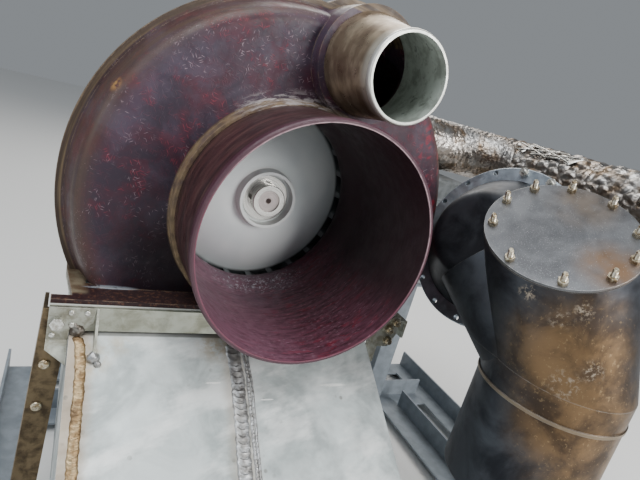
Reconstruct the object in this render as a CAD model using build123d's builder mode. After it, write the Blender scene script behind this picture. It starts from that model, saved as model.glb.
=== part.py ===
from build123d import *
import math
import os

os.makedirs("parts", exist_ok=True)

# Cooling-fan end of an auxiliary power unit on its transport stand, in millimetres.
# The origin is on the floor under the middle of the stand, +Z is up and the fan axis runs along +Y.
# Depths, heights and places across are measured from the centre of the inlet mouth's rim.

# stand
base_length = 650.0
base_width = 480.0
rail_size = 30.0
rail_wall = 3.0
foot_height = 10.0
foot_radius = 14.0
foot_chamfer = 2.0
post_size = 30.0
post_wall = 2.5
post_plate = 4.0
post_plate_length = 45.0
post_clearance = 5.0
left_post_x = -60.0
right_post_x = 280.0

# centre of the inlet mouth's rim
mouth_x = -100.0
mouth_y = -100.0
mouth_z = 340.0

# inlet mouth, a moulded tube that ends in the fan's shroud
mouth_radius = 100.0
mouth_wall = 2.2
lip_wall = 3.6
lip_depth = 7.0
lip_round = 1.2
throat_radius = 92.4
taper_depth = 118.0
throat_depth = 156.0
shroud_bend = 20.5
shroud_wall = 3.0
shroud_radius = 124.0

# casing shells
drum_radius = 187.0
side_draft = 15.0
shell_wall = 4.0
face_depth = 90.0
parting_depth = 126.5
parting_gap = 0.3
back_depth = 209.0
shoulder_radius = 13.0
back_corner = 12.0
rim_reach = 5.5
rim_thickness = 4.0
chord_distance = 147.4
chord_angle = -50.0
chord_corner = 14.0
collar_wall = 3.2
collar_depth = 77.0
bond_gap = 0.1
rim_screw_radius = 1.5
rim_screw_head = 2.4
rim_screw_bite = 2.8
rim_screw_counts = (5, 8)
rim_screw_starts = (-8.0, 98.0)
rim_screw_spreads = (60.0, 104.0)
ear_screw_count = 3
ear_screw_start = 30.0
ear_screw_spread = 90.0

# discharge neck
neck_drop = 85.0
neck_flange = 5.5
neck_left = -185.0
neck_right = 138.0
neck_front_depth = 65.0
neck_bar_depth = 73.0
neck_edge_front = -170.0
neck_edge_back = -175.0
opening_left = -160.0
opening_right = 104.0
opening_front_depth = 97.0
opening_back_depth = 200.0
neck_bolt_x = 125.0
neck_bolt_depths = (77.0, 108.5, 152.5, 195.0)
neck_bolt_radius = 2.5
neck_bolt_bite = 4.5
neck_bolt_head = 4.5
neck_bolt_head_height = 4.0

# take-off spout on the front shell
boss_x = 38.0
boss_z = 148.0
boss_radius = 50.0
boss_depth = 76.0
spout_root_radius = 44.0
spout_end_radius = 35.0
spout_bead_radius = 36.8
spout_wall = 1.6
spout_end_depth = 16.0
spout_shift_x = 4.0
spout_shift_z = -4.5
spout_seat = 12.0
bead_length = 7.0

# rotor
blade_count = 24
blade_thickness = 2.2
blade_sweep = 16.0
blade_camber = 5.0
blade_inner_radius = 97.0
blade_root = 1.5
blade_inset = 0.5
tip_gap = 0.9
hub_nose_radius = 29.7
hub_nose_depth = 139.0
hub_cup_radius = 26.6
hub_floor_depth = 150.6
hub_lead_depth = 149.0
hub_lead_radius = 31.5
hub_middle = (70.0, 162.0)
hub_rim_radius = 118.0
hub_rim_depth = 196.0
hub_back_depth = 199.5
hub_boss_radius = 20.0
hub_web = 6.5
shaft_radius = 12.5
shaft_end_radius = 11.1
shaft_end_depth = 138.0
shaft_step_depth = 152.0
shaft_collar_radius = 15.5
shaft_collar_width = 5.0
quill_radius = 9.0
quill_length = 34.0
quill_tooth_count = 12
quill_tooth_height = 1.6
centre_drill_radius = 2.9
centre_drill_depth = 9.0
nut_radius = 17.0
nut_depth = 136.0
nut_chamfer = 0.8
nut_slot_count = 4
nut_slot_width = 5.0
nut_slot_bite = 2.5
nut_slot_length = 6.0
washer_radius = 23.9
washer_thickness = 2.0
fit_gap = 0.02
running_gap = 0.05

# bearings and their cartridge
bearing_outer_radius = 26.0
bearing_width = 15.0
ball_radius = 3.9
ball_count = 9
race_wall = 4.2
race_groove = 4.1
first_bearing_depth = 208.0
bearing_spacing = 15.0
cartridge_nose_depth = 203.0
cartridge_nose_radius = 38.0
cartridge_body_radius = 33.0
cartridge_flange_radius = 60.0
cartridge_flange = 8.0
cartridge_tail = 4.0
cartridge_shoulder = 2.5
cartridge_screw_circle = 49.0
cartridge_screw_count = 6
cartridge_screw_radius = 2.5
cartridge_screw_bite = 12.0
cartridge_screw_head = 4.75
circlip_width = 1.5
circlip_reach = 1.3
seal_width = 4.0
hole_gap = 0.3

# gearbox behind the fan
gearbox_left = -110.0
gearbox_right = 330.0
gearbox_bottom = -110.0
gearbox_top = 50.0
gearbox_length = 112.0
gearbox_corner = 18.0
gearbox_edge = 3.0
cover_margin = 12.0
cover_plate = 5.0
cover_chamfer = 1.5
cover_screw_edge = 15.0
cover_screw_columns = 6
cover_screw_radius = 3.0
cover_screw_head = 5.0
cover_screw_bite = 12.0
quill_bore = 14.0
quill_room = 6.0
arm_left = 240.0
arm_front_depth = 104.0
arm_bottom = -60.0
arm_top = 20.0

# welded discharge duct
duct_left = -169.0
duct_right = 111.0
duct_wall = 2.0
duct_plate = 3.0
duct_plate_back = 212.0
strip_thickness = 3.0
duct_fold = (65.0, -111.0)
duct_lip = (-76.0, -205.0)
duct_heel = (-21.0, -288.0)
duct_back_depth = 205.0
duct_back_drop = 138.0
duct_back_bend = 40.0
mouth_relief = 104.5
weld_width = 12.0
weld_height = 2.2
weld_start = 0.06
left_weld_x = -162.0
middle_weld_x = -36.0

# left bracket, gusset and leg, right bracket and strut
bracket_left = -185.0
bracket_right = -152.0
bracket_bottom = -118.0
bracket_plate = 2.0
bracket_overlap = 1.0
bracket_side = 14.0
bracket_slant = 12.0
bracket_foot = 6.5
tab_width = 15.5
tab_overlap = 1.0
tab_long_side = 20.0
tab_short_side = 8.0
gusset_x = -150.0
bracket_bolt_at = ((-178.5, -103.0),)
bracket_rivets_at = ((-169.0, -94.0), (-157.5, -94.0), (-168.0, -104.5), (-181.0, -114.0))
right_nuts_at = ((136.0, -99.0), (142.0, -90.5), (138.0, -112.0))
tab_fold = 40.0
gusset_front_depth = 42.0
gusset_front_height = -119.0
rivet_radius = 2.3
rivet_shank = 1.3
rivet_head_height = 1.5
bolt_radius = 3.0
bolt_head_radius = 5.4
bolt_head_height = 4.0
head_round = 0.7
leg_width = 19.5
leg_depth = 28.0
leg_wall = 3.0
leg_lean = 3.0
leg_left = -189.0
leg_bolt_drops = (50.0, 90.0)
leg_bolt_inset = 8.0
leg_bolt_radius = 4.3
leg_bolt_height = 2.4
right_bracket_left = 114.0
right_bracket_right = 148.0
right_bracket_bottom = -120.0
right_bracket_side = 14.0
right_bracket_slant = 7.0
right_tab_width = 14.0
right_nut_radius = 4.7
right_bolt_reach = 6.4
right_tab_bottom = -139.0
strut_size = 20.0
strut_wall = 2.5
strut_left = 140.0
strut_top = -90.5
right_leg_x = 303.0
right_leg_depth = -82.0
right_leg_width = 36.0
right_leg_side = 18.0
right_leg_top = 104.0

# ring flange, plenum and oval cover
ring_centre = (219.0, 45.0, 13.0)
ring_normal = (-0.9257, -0.181, 0.332)
ring_radius = 90.2
ring_inner_radius = 74.5
ring_thickness = 7.0
ring_hole_radius = 2.9
ring_hole_circle = 85.0
ring_hole_count = 16
ring_hole_turn = 73.5
ring_bolt_turns = (0, 1)
ring_bolt_tail = 4.0
ring_chamfer = 0.8
dome_rise = 2.0
dome_height = 46.0
dome_taper = 37.0
dome_corner = 16.0
plenum_wall = 1.6
cover_centre = (195.0, -47.0, 58.0)
cover_normal = (-0.505, -0.303, 0.808)
cover_half_length = 65.0
cover_half_height = 63.0
cover_thickness = 2.5
port_lip = 12.0
gasket_thickness = 1.5
stud_radius = 2.4
stud_height = 12.0
stud_angles = (165, 134, 101, 64, 26, -5, -34, -72, -117, -161)
stud_circle = 57.5
stud_nut_radius = 4.3
stud_nut_height = 4.2
intake_x = 235.0
intake_depth = -68.0
intake_radius = 66.0
intake_bottom = -190.0
intake_top = -62.0
elbow_start = (203.0, 20.0, 10.0)
elbow_radius = 58.0
elbow_sink = 5.0
elbow_overrun = 10.0
joint_drop = -63.0
seam_drop = -88.0
seam_height = 3.0
seam_reach = 1.2
seat_gap = 0.3
core_radius = 62.0
core_length = 112.0
core_step_radius = 50.0
core_step_length = 22.0

# foil-wrapped bleed pipe
pipe_radius = 37.0
pipe_bore = 30.0
pipe_wall = 1.5
pipe_height = 92.0
pipe_clearance = 24.0
pipe_start_x = 80.0
pipe_end_x = 384.0
pipe_end_depth = -100.0
pipe_bend = 95.0
port_block_length = 40.0
port_block_width = 84.0
clamp_thickness = 2.5
clamp_width = 20.0
lug_edge = 9.0

neck_bottom = -neck_drop - neck_flange
fan_axis = Axis((mouth_x, mouth_y, mouth_z), (0, 1, 0))
section = Plane(origin=(mouth_x, mouth_y, mouth_z), x_dir=(1, 0, 0), z_dir=(0, 0, 1))
floor_drop = -mouth_z
rail_bottom = floor_drop + foot_height
rail_floor = rail_bottom + rail_wall
base_left = -mouth_x - base_length / 2
base_right = -mouth_x + base_length / 2
base_front = -mouth_y - base_width / 2
base_back = -mouth_y + base_width / 2


def from_mouth(x, depth, height):
    """Place in the object's frame of a place measured from the mouth's rim."""
    return Vector(mouth_x + x, mouth_y + depth, mouth_z + height)


def front(depth):
    """Plane across the fan axis at a depth behind the rim, seen from the inlet."""
    return Plane(origin=from_mouth(0, depth, 0), x_dir=(1, 0, 0), z_dir=(0, -1, 0))


def level(height):
    """Horizontal plane: places across and depths."""
    return Plane(origin=from_mouth(0, 0, height), x_dir=(1, 0, 0), z_dir=(0, 0, 1))


def profile(x):
    """Side-view plane: depths and heights."""
    return Plane(origin=from_mouth(x, 0, 0), x_dir=(0, 1, 0), z_dir=(1, 0, 0))


def facing(centre, normal, lift=0.0):
    """Plane across a slanted axis, with its first direction level."""
    axis = Vector(*normal).normalized()
    return Plane(
        origin=from_mouth(*centre) + axis * lift,
        x_dir=Vector(0, 0, 1).cross(axis),
        z_dir=axis,
    )


def block(left, right, near, far, low, high, mode=Mode.ADD):
    """Add or cut a plain block between places across, depths and heights."""
    with BuildSketch(level(low)) as plan:
        with Locations(((left + right) / 2, (near + far) / 2)):
            Rectangle(right - left, far - near)
    extrude(plan.sketch, amount=high - low, mode=mode)


def disc(plane, radius, x=0.0, y=0.0):
    with BuildSketch(plane) as plate:
        with Locations((x, y)):
            Circle(radius)
    return plate.sketch


def save(piece, name):
    piece.part.label = name
    export_step(piece.part, "parts/" + name + ".step")


def turned(points):
    """Revolve a closed outline of (radius, depth) points about the fan axis."""
    with BuildPart() as piece:
        with BuildSketch(section):
            with BuildLine():
                Polyline(*points, close=True)
            make_face()
        revolve(axis=fan_axis)
    return piece


# inlet mouth with its rolled lip, throat and shroud
bend_radius = throat_radius + shroud_bend
shroud_depth = throat_depth + shroud_bend
outer_bend = shroud_bend - shroud_wall
tube_radius = mouth_radius + mouth_wall
with BuildPart() as inlet_mouth:
    with BuildSketch(section):
        with BuildLine():
            Line((mouth_radius, 0), (mouth_radius, taper_depth))
            Spline((mouth_radius, taper_depth), (throat_radius, throat_depth), tangents=[(0, 1), (0, 1)])
            RadiusArc((throat_radius, throat_depth), (bend_radius, shroud_depth), shroud_bend)
            Polyline(
                (bend_radius, shroud_depth),
                (shroud_radius, shroud_depth),
                (shroud_radius, shroud_depth - shroud_wall),
                (bend_radius, shroud_depth - shroud_wall),
            )
            RadiusArc(
                (bend_radius, shroud_depth - shroud_wall),
                (bend_radius - outer_bend, throat_depth),
                -outer_bend,
            )
            Spline(
                (bend_radius - outer_bend, throat_depth),
                (tube_radius, taper_depth),
                tangents=[(0, -1), (0, -1)],
            )
            Polyline(
                (tube_radius, taper_depth),
                (tube_radius, lip_depth + lip_round),
                (mouth_radius + lip_wall, lip_depth),
                (mouth_radius + lip_wall, lip_round),
                (mouth_radius + lip_wall - lip_round, 0),
                (mouth_radius, 0),
            )
        make_face()
    revolve(axis=fan_axis)
save(inlet_mouth, "inlet_mouth")


def casing_sketch(depth, reach):
    """Front view of the collector drum, with the straight wall beside the tongue."""
    with BuildSketch(front(depth)) as outline:
        Circle(drum_radius + reach)
        with PolarLocations(chord_distance + reach, 1, start_angle=chord_angle):
            Rectangle(drum_radius, 3 * drum_radius, align=(Align.MIN, Align.CENTER), mode=Mode.SUBTRACT)
        fillet(outline.vertices(), chord_corner + reach)
    return outline.sketch


def casing_form(reach, rim_depth, wall_depth, draft, corner):
    """Solid drum from its open rim to its closed wall, with the wall's corner rounded."""
    with BuildPart() as form:
        extrude(casing_sketch(rim_depth, reach), amount=rim_depth - wall_depth, taper=draft)
        ends = form.faces().filter_by(Axis.Y).sort_by(Axis.Y)
        wall_face = ends[0] if wall_depth < rim_depth else ends[-1]
        fillet(wall_face.edges(), corner)
    return form.part


def rim_plate(depth, thickness):
    """Flange round the parting, with an ear behind the take-off boss."""
    extrude(casing_sketch(depth, rim_reach), amount=thickness)
    extrude(disc(front(depth), boss_radius + rim_reach, boss_x, boss_z), amount=thickness)


def cut_below_neck():
    """Cut off what hangs under the top of the discharge flange."""
    reach = 2 * drum_radius
    block(-reach, reach, 0, 2 * back_depth, -reach, -neck_drop, Mode.SUBTRACT)


def flange_plate(near, far, low, high):
    """Plate of the discharge flange between two depths, cut back on its left behind the front bar."""
    block(neck_edge_back, neck_right, near, far, low, high)
    if near < neck_bar_depth:
        block(neck_left, neck_right, near, neck_bar_depth, low, high)
        with BuildSketch(level(low)) as corner:
            with BuildLine():
                Polyline(
                    (neck_edge_front, neck_bar_depth),
                    (neck_edge_back, parting_depth),
                    (neck_edge_back, neck_bar_depth),
                    close=True,
                )
            make_face()
        extrude(corner.sketch, amount=high - low, mode=Mode.SUBTRACT)


def neck_plate(near, far):
    """Part of the discharge flange between two depths."""
    flange_plate(near, far, neck_bottom, -neck_drop)


def cut_opening(low, high):
    """Discharge opening between two heights."""
    block(
        opening_left, opening_right, opening_front_depth, opening_back_depth, low, high, Mode.SUBTRACT
    )


def cut_hole(plane, radius, depth, x=0.0, y=0.0):
    """Round hole from a plane backwards."""
    extrude(disc(plane, radius, x, y), amount=-depth, mode=Mode.SUBTRACT)


# rim screws stand in two runs round the drum and one round the boss's ear
rim_screw_circle = drum_radius + rim_reach / 2
ear_screw_circle = boss_radius + rim_reach / 2


def rim_screw_discs(depth, radius):
    with BuildSketch(front(depth)) as screws:
        for count, start, spread in zip(rim_screw_counts, rim_screw_starts, rim_screw_spreads):
            with PolarLocations(rim_screw_circle, count, start, spread, endpoint=True):
                Circle(radius)
        with Locations((boss_x, boss_z)):
            ear_spread = (ear_screw_start, ear_screw_spread)
            with PolarLocations(ear_screw_circle, ear_screw_count, *ear_spread, endpoint=True):
                Circle(radius)
    return screws.sketch


def neck_bolt_discs(height, radius, near, far):
    """Discharge flange bolts between two depths."""
    with BuildSketch(level(height)) as bolts:
        for depth in neck_bolt_depths:
            if near < depth < far:
                with Locations((neck_bolt_x, depth)):
                    Circle(radius)
    return bolts.sketch


# front shell: face, rounded shoulder, drafted side, collar for the mouth, boss for the spout
collar_radius = tube_radius + bond_gap
inner_face_depth = face_depth + shell_wall
with BuildPart() as front_shell:
    add(casing_form(0, parting_depth, face_depth, side_draft, shoulder_radius))
    rim_plate(parting_depth, rim_thickness)
    extrude(disc(front(parting_depth), boss_radius, boss_x, boss_z), amount=parting_depth - boss_depth)
    add(
        casing_form(-shell_wall, parting_depth, inner_face_depth, side_draft, shoulder_radius - shell_wall),
        mode=Mode.SUBTRACT,
    )
    collar = disc(front(inner_face_depth), collar_radius + collar_wall)
    extrude(collar, amount=inner_face_depth - collar_depth)
    cut_below_neck()
    neck_plate(neck_front_depth, parting_depth)
    cut_hole(front(0), spout_root_radius + bond_gap, parting_depth, boss_x, boss_z)
    cut_opening(-2 * drum_radius, -neck_drop)
    cut_hole(front(0), collar_radius, parting_depth)
    extrude(
        rim_screw_discs(parting_depth, rim_screw_radius + hole_gap), amount=rim_screw_bite, mode=Mode.SUBTRACT
    )
    extrude(
        neck_bolt_discs(neck_bottom, neck_bolt_radius + hole_gap, neck_front_depth, parting_depth),
        amount=neck_bolt_bite,
        mode=Mode.SUBTRACT,
    )
save(front_shell, "front_shell")

# rear shell: straight side and back wall with the cartridge's spigot hole
rear_rim_depth = parting_depth + parting_gap
with BuildPart() as rear_shell:
    add(casing_form(0, rear_rim_depth, back_depth, 0, back_corner))
    rim_plate(rear_rim_depth, -rim_thickness)
    add(
        casing_form(-shell_wall, rear_rim_depth, back_depth - shell_wall, 0, back_corner - shell_wall),
        mode=Mode.SUBTRACT,
    )
    cut_below_neck()
    neck_plate(rear_rim_depth, back_depth)
    cut_opening(-2 * drum_radius, -neck_drop)
    cut_hole(front(hub_back_depth), cartridge_nose_radius + bond_gap, 2 * shell_wall + rim_reach)
    with BuildSketch(front(back_depth)):
        with PolarLocations(cartridge_screw_circle, cartridge_screw_count):
            Circle(cartridge_screw_radius + hole_gap)
    extrude(amount=shell_wall, mode=Mode.SUBTRACT)
    screw_holes = rim_screw_discs(rear_rim_depth, rim_screw_radius + hole_gap)
    extrude(screw_holes, amount=-rim_thickness, mode=Mode.SUBTRACT)
    extrude(
        neck_bolt_discs(neck_bottom, neck_bolt_radius + hole_gap, rear_rim_depth, back_depth),
        amount=neck_bolt_bite,
        mode=Mode.SUBTRACT,
    )
save(rear_shell, "rear_shell")

# rim screws, put in from behind
with BuildPart() as rim_screws:
    rim_screw_length = rim_thickness + parting_gap + rim_screw_bite
    screw_head_depth = rear_rim_depth + rim_thickness
    extrude(rim_screw_discs(screw_head_depth, rim_screw_radius), amount=rim_screw_length - hole_gap)
    extrude(rim_screw_discs(screw_head_depth, rim_screw_head), amount=-2 * rim_screw_radius)
save(rim_screws, "rim_screws")

# spout: seat in the boss, reducer and rolled bead at the open end
spout_x = boss_x + spout_shift_x
spout_z = boss_z + spout_shift_z
bead_depth = spout_end_depth + bead_length


def spout_form(wall):
    """Outer form of the spout, or its bore when a wall is taken off."""
    with BuildPart() as form:
        root = disc(front(boss_depth), spout_root_radius - wall, boss_x, boss_z)
        end = disc(front(bead_depth), spout_end_radius - wall, spout_x, spout_z)
        extrude(root, amount=-spout_seat)
        loft([root, end])
        extrude(end, amount=bead_length)
    return form.part


with BuildPart() as take_off_spout:
    add(spout_form(0))
    with BuildSketch(Plane(origin=from_mouth(spout_x, 0, spout_z), x_dir=(1, 0, 0), z_dir=(0, 0, 1))):
        with Locations((spout_end_radius, spout_end_depth + bead_length / 2)):
            Ellipse(spout_bead_radius - spout_end_radius, bead_length / 2)
    revolve(axis=Axis(from_mouth(spout_x, 0, spout_z), (0, 1, 0)))
    add(spout_form(spout_wall), mode=Mode.SUBTRACT)
save(take_off_spout, "take_off_spout")

# impeller hub: a cup round the nut, then a smooth cone out to the rim, hollow behind
with BuildPart() as hub:
    with BuildSketch(section):
        with BuildLine():
            Polyline(
                (hub_rim_radius, hub_rim_depth),
                (hub_rim_radius, hub_back_depth),
                (hub_rim_radius - hub_web, hub_back_depth),
                (hub_middle[0], hub_middle[1] + hub_web),
                (hub_lead_radius, hub_lead_depth + hub_web),
                (hub_boss_radius, hub_lead_depth + hub_web),
                (hub_boss_radius, hub_back_depth),
                (shaft_radius + fit_gap, hub_back_depth),
                (shaft_radius + fit_gap, hub_floor_depth),
                (hub_cup_radius, hub_floor_depth),
                (hub_cup_radius, hub_nose_depth),
                (hub_nose_radius, hub_nose_depth),
                (hub_lead_radius, hub_lead_depth),
            )
            Spline(
                (hub_lead_radius, hub_lead_depth),
                hub_middle,
                (hub_rim_radius, hub_rim_depth),
                tangents=[(1, 0.1), (1, 0.6)],
            )
        make_face()
    revolve(axis=fan_axis)

# one swept-back blade outside the mouth's throat, made about +Z with its depths below zero
tip_bend = shroud_bend + tip_gap
tip_depth = throat_depth + tip_bend
inner_tip_depth = throat_depth + math.sqrt(tip_bend**2 - (bend_radius - blade_inner_radius) ** 2)
blade_reach = hub_rim_radius - blade_inset
blade_bottom = hub_rim_depth + blade_root
with BuildPart() as blade_channel:
    with BuildSketch(Plane.XZ):
        with BuildLine():
            Polyline(
                (bend_radius, -tip_depth),
                (blade_reach, -tip_depth),
                (blade_reach, -blade_bottom),
                (blade_inner_radius, -blade_bottom),
                (blade_inner_radius, -inner_tip_depth),
            )
            RadiusArc((blade_inner_radius, -inner_tip_depth), (bend_radius, -tip_depth), -tip_bend)
        make_face()
    revolve(axis=Axis.Z)

with BuildPart() as blade:
    with BuildSketch(Plane.XY.offset(-blade_bottom)):
        with BuildLine() as camber:
            blade_tip = Vector(hub_rim_radius, 0).rotate(Axis.Z, blade_sweep)
            SagittaArc((blade_inner_radius - blade_thickness, 0), blade_tip, blade_camber)
        trace(camber.line, blade_thickness)
    extrude(amount=blade_bottom - throat_depth)
    add(blade_channel.part, mode=Mode.INTERSECT)

with BuildPart() as impeller:
    add(hub.part)
    with Locations(front(0)):
        with PolarLocations(0, blade_count):
            add(blade.part)
save(impeller, "impeller")

# washer and round slotted nut that clamp the wheel on the shaft's threaded end
washer_depth = hub_floor_depth - washer_thickness
with BuildPart() as impeller_washer:
    with BuildSketch(front(hub_floor_depth)):
        Circle(washer_radius)
        Circle(shaft_end_radius + fit_gap, mode=Mode.SUBTRACT)
    extrude(amount=washer_thickness)
save(impeller_washer, "impeller_washer")

with BuildPart() as impeller_nut:
    extrude(disc(front(washer_depth), nut_radius), amount=washer_depth - nut_depth)
    chamfer(impeller_nut.faces().sort_by(Axis.Y)[0].edges(), nut_chamfer)
    with BuildSketch(front(washer_depth)):
        with PolarLocations(nut_radius, nut_slot_count):
            Rectangle(2 * nut_slot_bite, nut_slot_width)
    extrude(amount=nut_slot_length, mode=Mode.SUBTRACT)
    cut_hole(front(nut_depth), shaft_end_radius + fit_gap, washer_depth - nut_depth)
save(impeller_nut, "impeller_nut")

# shaft: threaded nose, journal for the bearings, collar and splined quill
first_bearing_end = first_bearing_depth + bearing_width
second_bearing_depth = first_bearing_end + bearing_spacing
second_bearing_end = second_bearing_depth + bearing_width
collar_end_depth = second_bearing_end + shaft_collar_width
quill_end_depth = collar_end_depth + quill_length
with BuildPart() as fan_shaft:
    with BuildSketch(section):
        with BuildLine():
            Polyline(
                (0, shaft_end_depth),
                (shaft_end_radius, shaft_end_depth),
                (shaft_end_radius, shaft_step_depth),
                (shaft_radius, shaft_step_depth),
                (shaft_radius, second_bearing_end),
                (shaft_collar_radius, second_bearing_end),
                (shaft_collar_radius, collar_end_depth),
                (quill_radius, collar_end_depth),
                (quill_radius, quill_end_depth),
                (0, quill_end_depth),
                close=True,
            )
        make_face()
    revolve(axis=fan_axis)
    with BuildSketch(front(quill_end_depth)):
        with PolarLocations(quill_radius, quill_tooth_count):
            Rectangle(2 * quill_tooth_height, 2 * quill_tooth_height)
    extrude(amount=quill_end_depth - collar_end_depth)
    drill = turned(
        [
            (0, shaft_end_depth),
            (centre_drill_radius, shaft_end_depth),
            (0, shaft_end_depth + centre_drill_depth),
        ]
    )
    add(drill.part, mode=Mode.SUBTRACT)
save(fan_shaft, "fan_shaft")


def sleeve(inner, outer, near, far):
    """Plain ring about the fan axis between two depths."""
    return turned([(inner, near), (outer, near), (outer, far), (inner, far)])


# sleeves that keep the wheel and the two bearings apart on the shaft
front_sleeve = sleeve(shaft_radius + fit_gap, shaft_collar_radius, hub_back_depth, first_bearing_depth)
save(front_sleeve, "front_sleeve")
bearing_spacer = sleeve(
    shaft_radius + fit_gap, shaft_collar_radius, first_bearing_end, second_bearing_depth
)
save(bearing_spacer, "bearing_spacer")


# two deep-groove ball bearings
ball_circle = (shaft_radius + bearing_outer_radius) / 2


def bearing_ring(inner, outer, depth):
    with BuildPart() as ring:
        with BuildSketch(section):
            with Locations(((inner + outer) / 2, depth + bearing_width / 2)):
                Rectangle(outer - inner, bearing_width)
            with Locations((ball_circle, depth + bearing_width / 2)):
                Circle(race_groove, mode=Mode.SUBTRACT)
        revolve(axis=fan_axis)
    return ring.part


with BuildPart() as bearing_inner_rings:
    for depth in (first_bearing_depth, second_bearing_depth):
        add(bearing_ring(shaft_radius + fit_gap, shaft_radius + race_wall, depth))
save(bearing_inner_rings, "bearing_inner_rings")

with BuildPart() as bearing_outer_rings:
    for depth in (first_bearing_depth, second_bearing_depth):
        add(bearing_ring(bearing_outer_radius - race_wall, bearing_outer_radius, depth))
save(bearing_outer_rings, "bearing_outer_rings")

with BuildPart() as bearing_balls:
    for depth in (first_bearing_depth, second_bearing_depth):
        with Locations(front(depth + bearing_width / 2)):
            with PolarLocations(ball_circle, ball_count):
                Sphere(ball_radius)
save(bearing_balls, "bearing_balls")

# cartridge that holds both bearings and closes the back of the casing
bearing_bore = bearing_outer_radius + fit_gap
shoulder_bore = bearing_outer_radius - cartridge_shoulder
flange_back_depth = back_depth + cartridge_flange
circlip_depth = second_bearing_end
cartridge_end_depth = second_bearing_end + cartridge_tail
with BuildPart() as bearing_cartridge:
    with BuildSketch(section):
        with BuildLine():
            Polyline(
                (bearing_bore, cartridge_nose_depth),
                (cartridge_nose_radius, cartridge_nose_depth),
                (cartridge_nose_radius, back_depth),
                (cartridge_flange_radius, back_depth),
                (cartridge_flange_radius, flange_back_depth),
                (cartridge_body_radius, flange_back_depth),
                (cartridge_body_radius, cartridge_end_depth),
                (bearing_bore, cartridge_end_depth),
                (bearing_bore, circlip_depth + circlip_width),
                (bearing_bore + circlip_reach, circlip_depth + circlip_width),
                (bearing_bore + circlip_reach, circlip_depth),
                (bearing_bore, circlip_depth),
                (bearing_bore, second_bearing_depth),
                (shoulder_bore, second_bearing_depth),
                (shoulder_bore, first_bearing_end),
                (bearing_bore, first_bearing_end),
                close=True,
            )
        make_face()
    revolve(axis=fan_axis)
    with BuildSketch(front(flange_back_depth)):
        with PolarLocations(cartridge_screw_circle, cartridge_screw_count):
            Circle(cartridge_screw_radius + hole_gap)
    extrude(amount=cartridge_flange, mode=Mode.SUBTRACT)
save(bearing_cartridge, "bearing_cartridge")

bearing_circlip = sleeve(
    shoulder_bore, bearing_bore + circlip_reach - running_gap, circlip_depth, circlip_depth + circlip_width
)
save(bearing_circlip, "bearing_circlip")
shaft_seal = sleeve(
    shaft_collar_radius + running_gap,
    bearing_outer_radius,
    first_bearing_depth - seal_width,
    first_bearing_depth,
)
save(shaft_seal, "shaft_seal")

# cartridge screws go through the back wall and the flange into the gearbox
screw_face_depth = back_depth - shell_wall
with BuildPart() as cartridge_screws:
    with BuildSketch(front(flange_back_depth + cartridge_screw_bite)):
        with PolarLocations(cartridge_screw_circle, cartridge_screw_count):
            Circle(cartridge_screw_radius)
    extrude(amount=flange_back_depth + cartridge_screw_bite - screw_face_depth)
    with BuildSketch(front(screw_face_depth)):
        with PolarLocations(cartridge_screw_circle, cartridge_screw_count):
            RegularPolygon(cartridge_screw_head, 6)
    extrude(amount=cartridge_screw_radius)
save(cartridge_screws, "cartridge_screws")

# gearbox: rounded housing with a bore for the cartridge and an arm that carries the core
gearbox_front_depth = flange_back_depth
gearbox_back_depth = gearbox_front_depth + gearbox_length


def core_form(gap):
    """Compressor casing barrel behind the ring, widened by a gap."""
    with BuildPart() as form:
        start = facing(ring_centre, ring_normal, -ring_thickness)
        extrude(disc(start, core_radius + gap), amount=-core_length - gap)
        step = facing(ring_centre, ring_normal, -ring_thickness - core_length)
        extrude(disc(step, core_step_radius + gap), amount=-core_step_length - gap)
    return form.part


def cover_screw_sketch(depth, radius):
    """Screws along the top and bottom edges of the gearbox cover."""
    width = gearbox_right - gearbox_left - 2 * cover_screw_edge
    height = gearbox_top - gearbox_bottom - 2 * cover_screw_edge
    with BuildSketch(front(depth)) as screws:
        with Locations(((gearbox_left + gearbox_right) / 2, (gearbox_bottom + gearbox_top) / 2)):
            with GridLocations(width / (cover_screw_columns - 1), height, cover_screw_columns, 2):
                Circle(radius)
    return screws.sketch


with BuildPart() as gearbox_housing:
    with BuildSketch(front(gearbox_back_depth)):
        with Locations(((gearbox_left + gearbox_right) / 2, (gearbox_bottom + gearbox_top) / 2)):
            RectangleRounded(
                gearbox_right - gearbox_left, gearbox_top - gearbox_bottom, gearbox_corner
            )
    extrude(amount=gearbox_length)
    chamfer(gearbox_housing.faces().filter_by(Axis.Y).edges(), gearbox_edge)
    block(arm_left, gearbox_right, arm_front_depth, gearbox_front_depth + gearbox_edge, arm_bottom, arm_top)
    add(core_form(seat_gap), mode=Mode.SUBTRACT)
    cut_hole(
        front(gearbox_front_depth),
        cartridge_body_radius + hole_gap,
        collar_end_depth + seat_gap - gearbox_front_depth,
    )
    cut_hole(
        front(gearbox_front_depth), quill_bore, quill_end_depth + quill_room - gearbox_front_depth
    )
    with BuildSketch(front(gearbox_front_depth)):
        with PolarLocations(cartridge_screw_circle, cartridge_screw_count):
            Circle(cartridge_screw_radius + hole_gap)
    extrude(amount=-cartridge_screw_bite, mode=Mode.SUBTRACT)
    extrude(
        cover_screw_sketch(gearbox_back_depth, cover_screw_radius + hole_gap),
        amount=cover_screw_bite,
        mode=Mode.SUBTRACT,
    )
save(gearbox_housing, "gearbox_housing")

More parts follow.
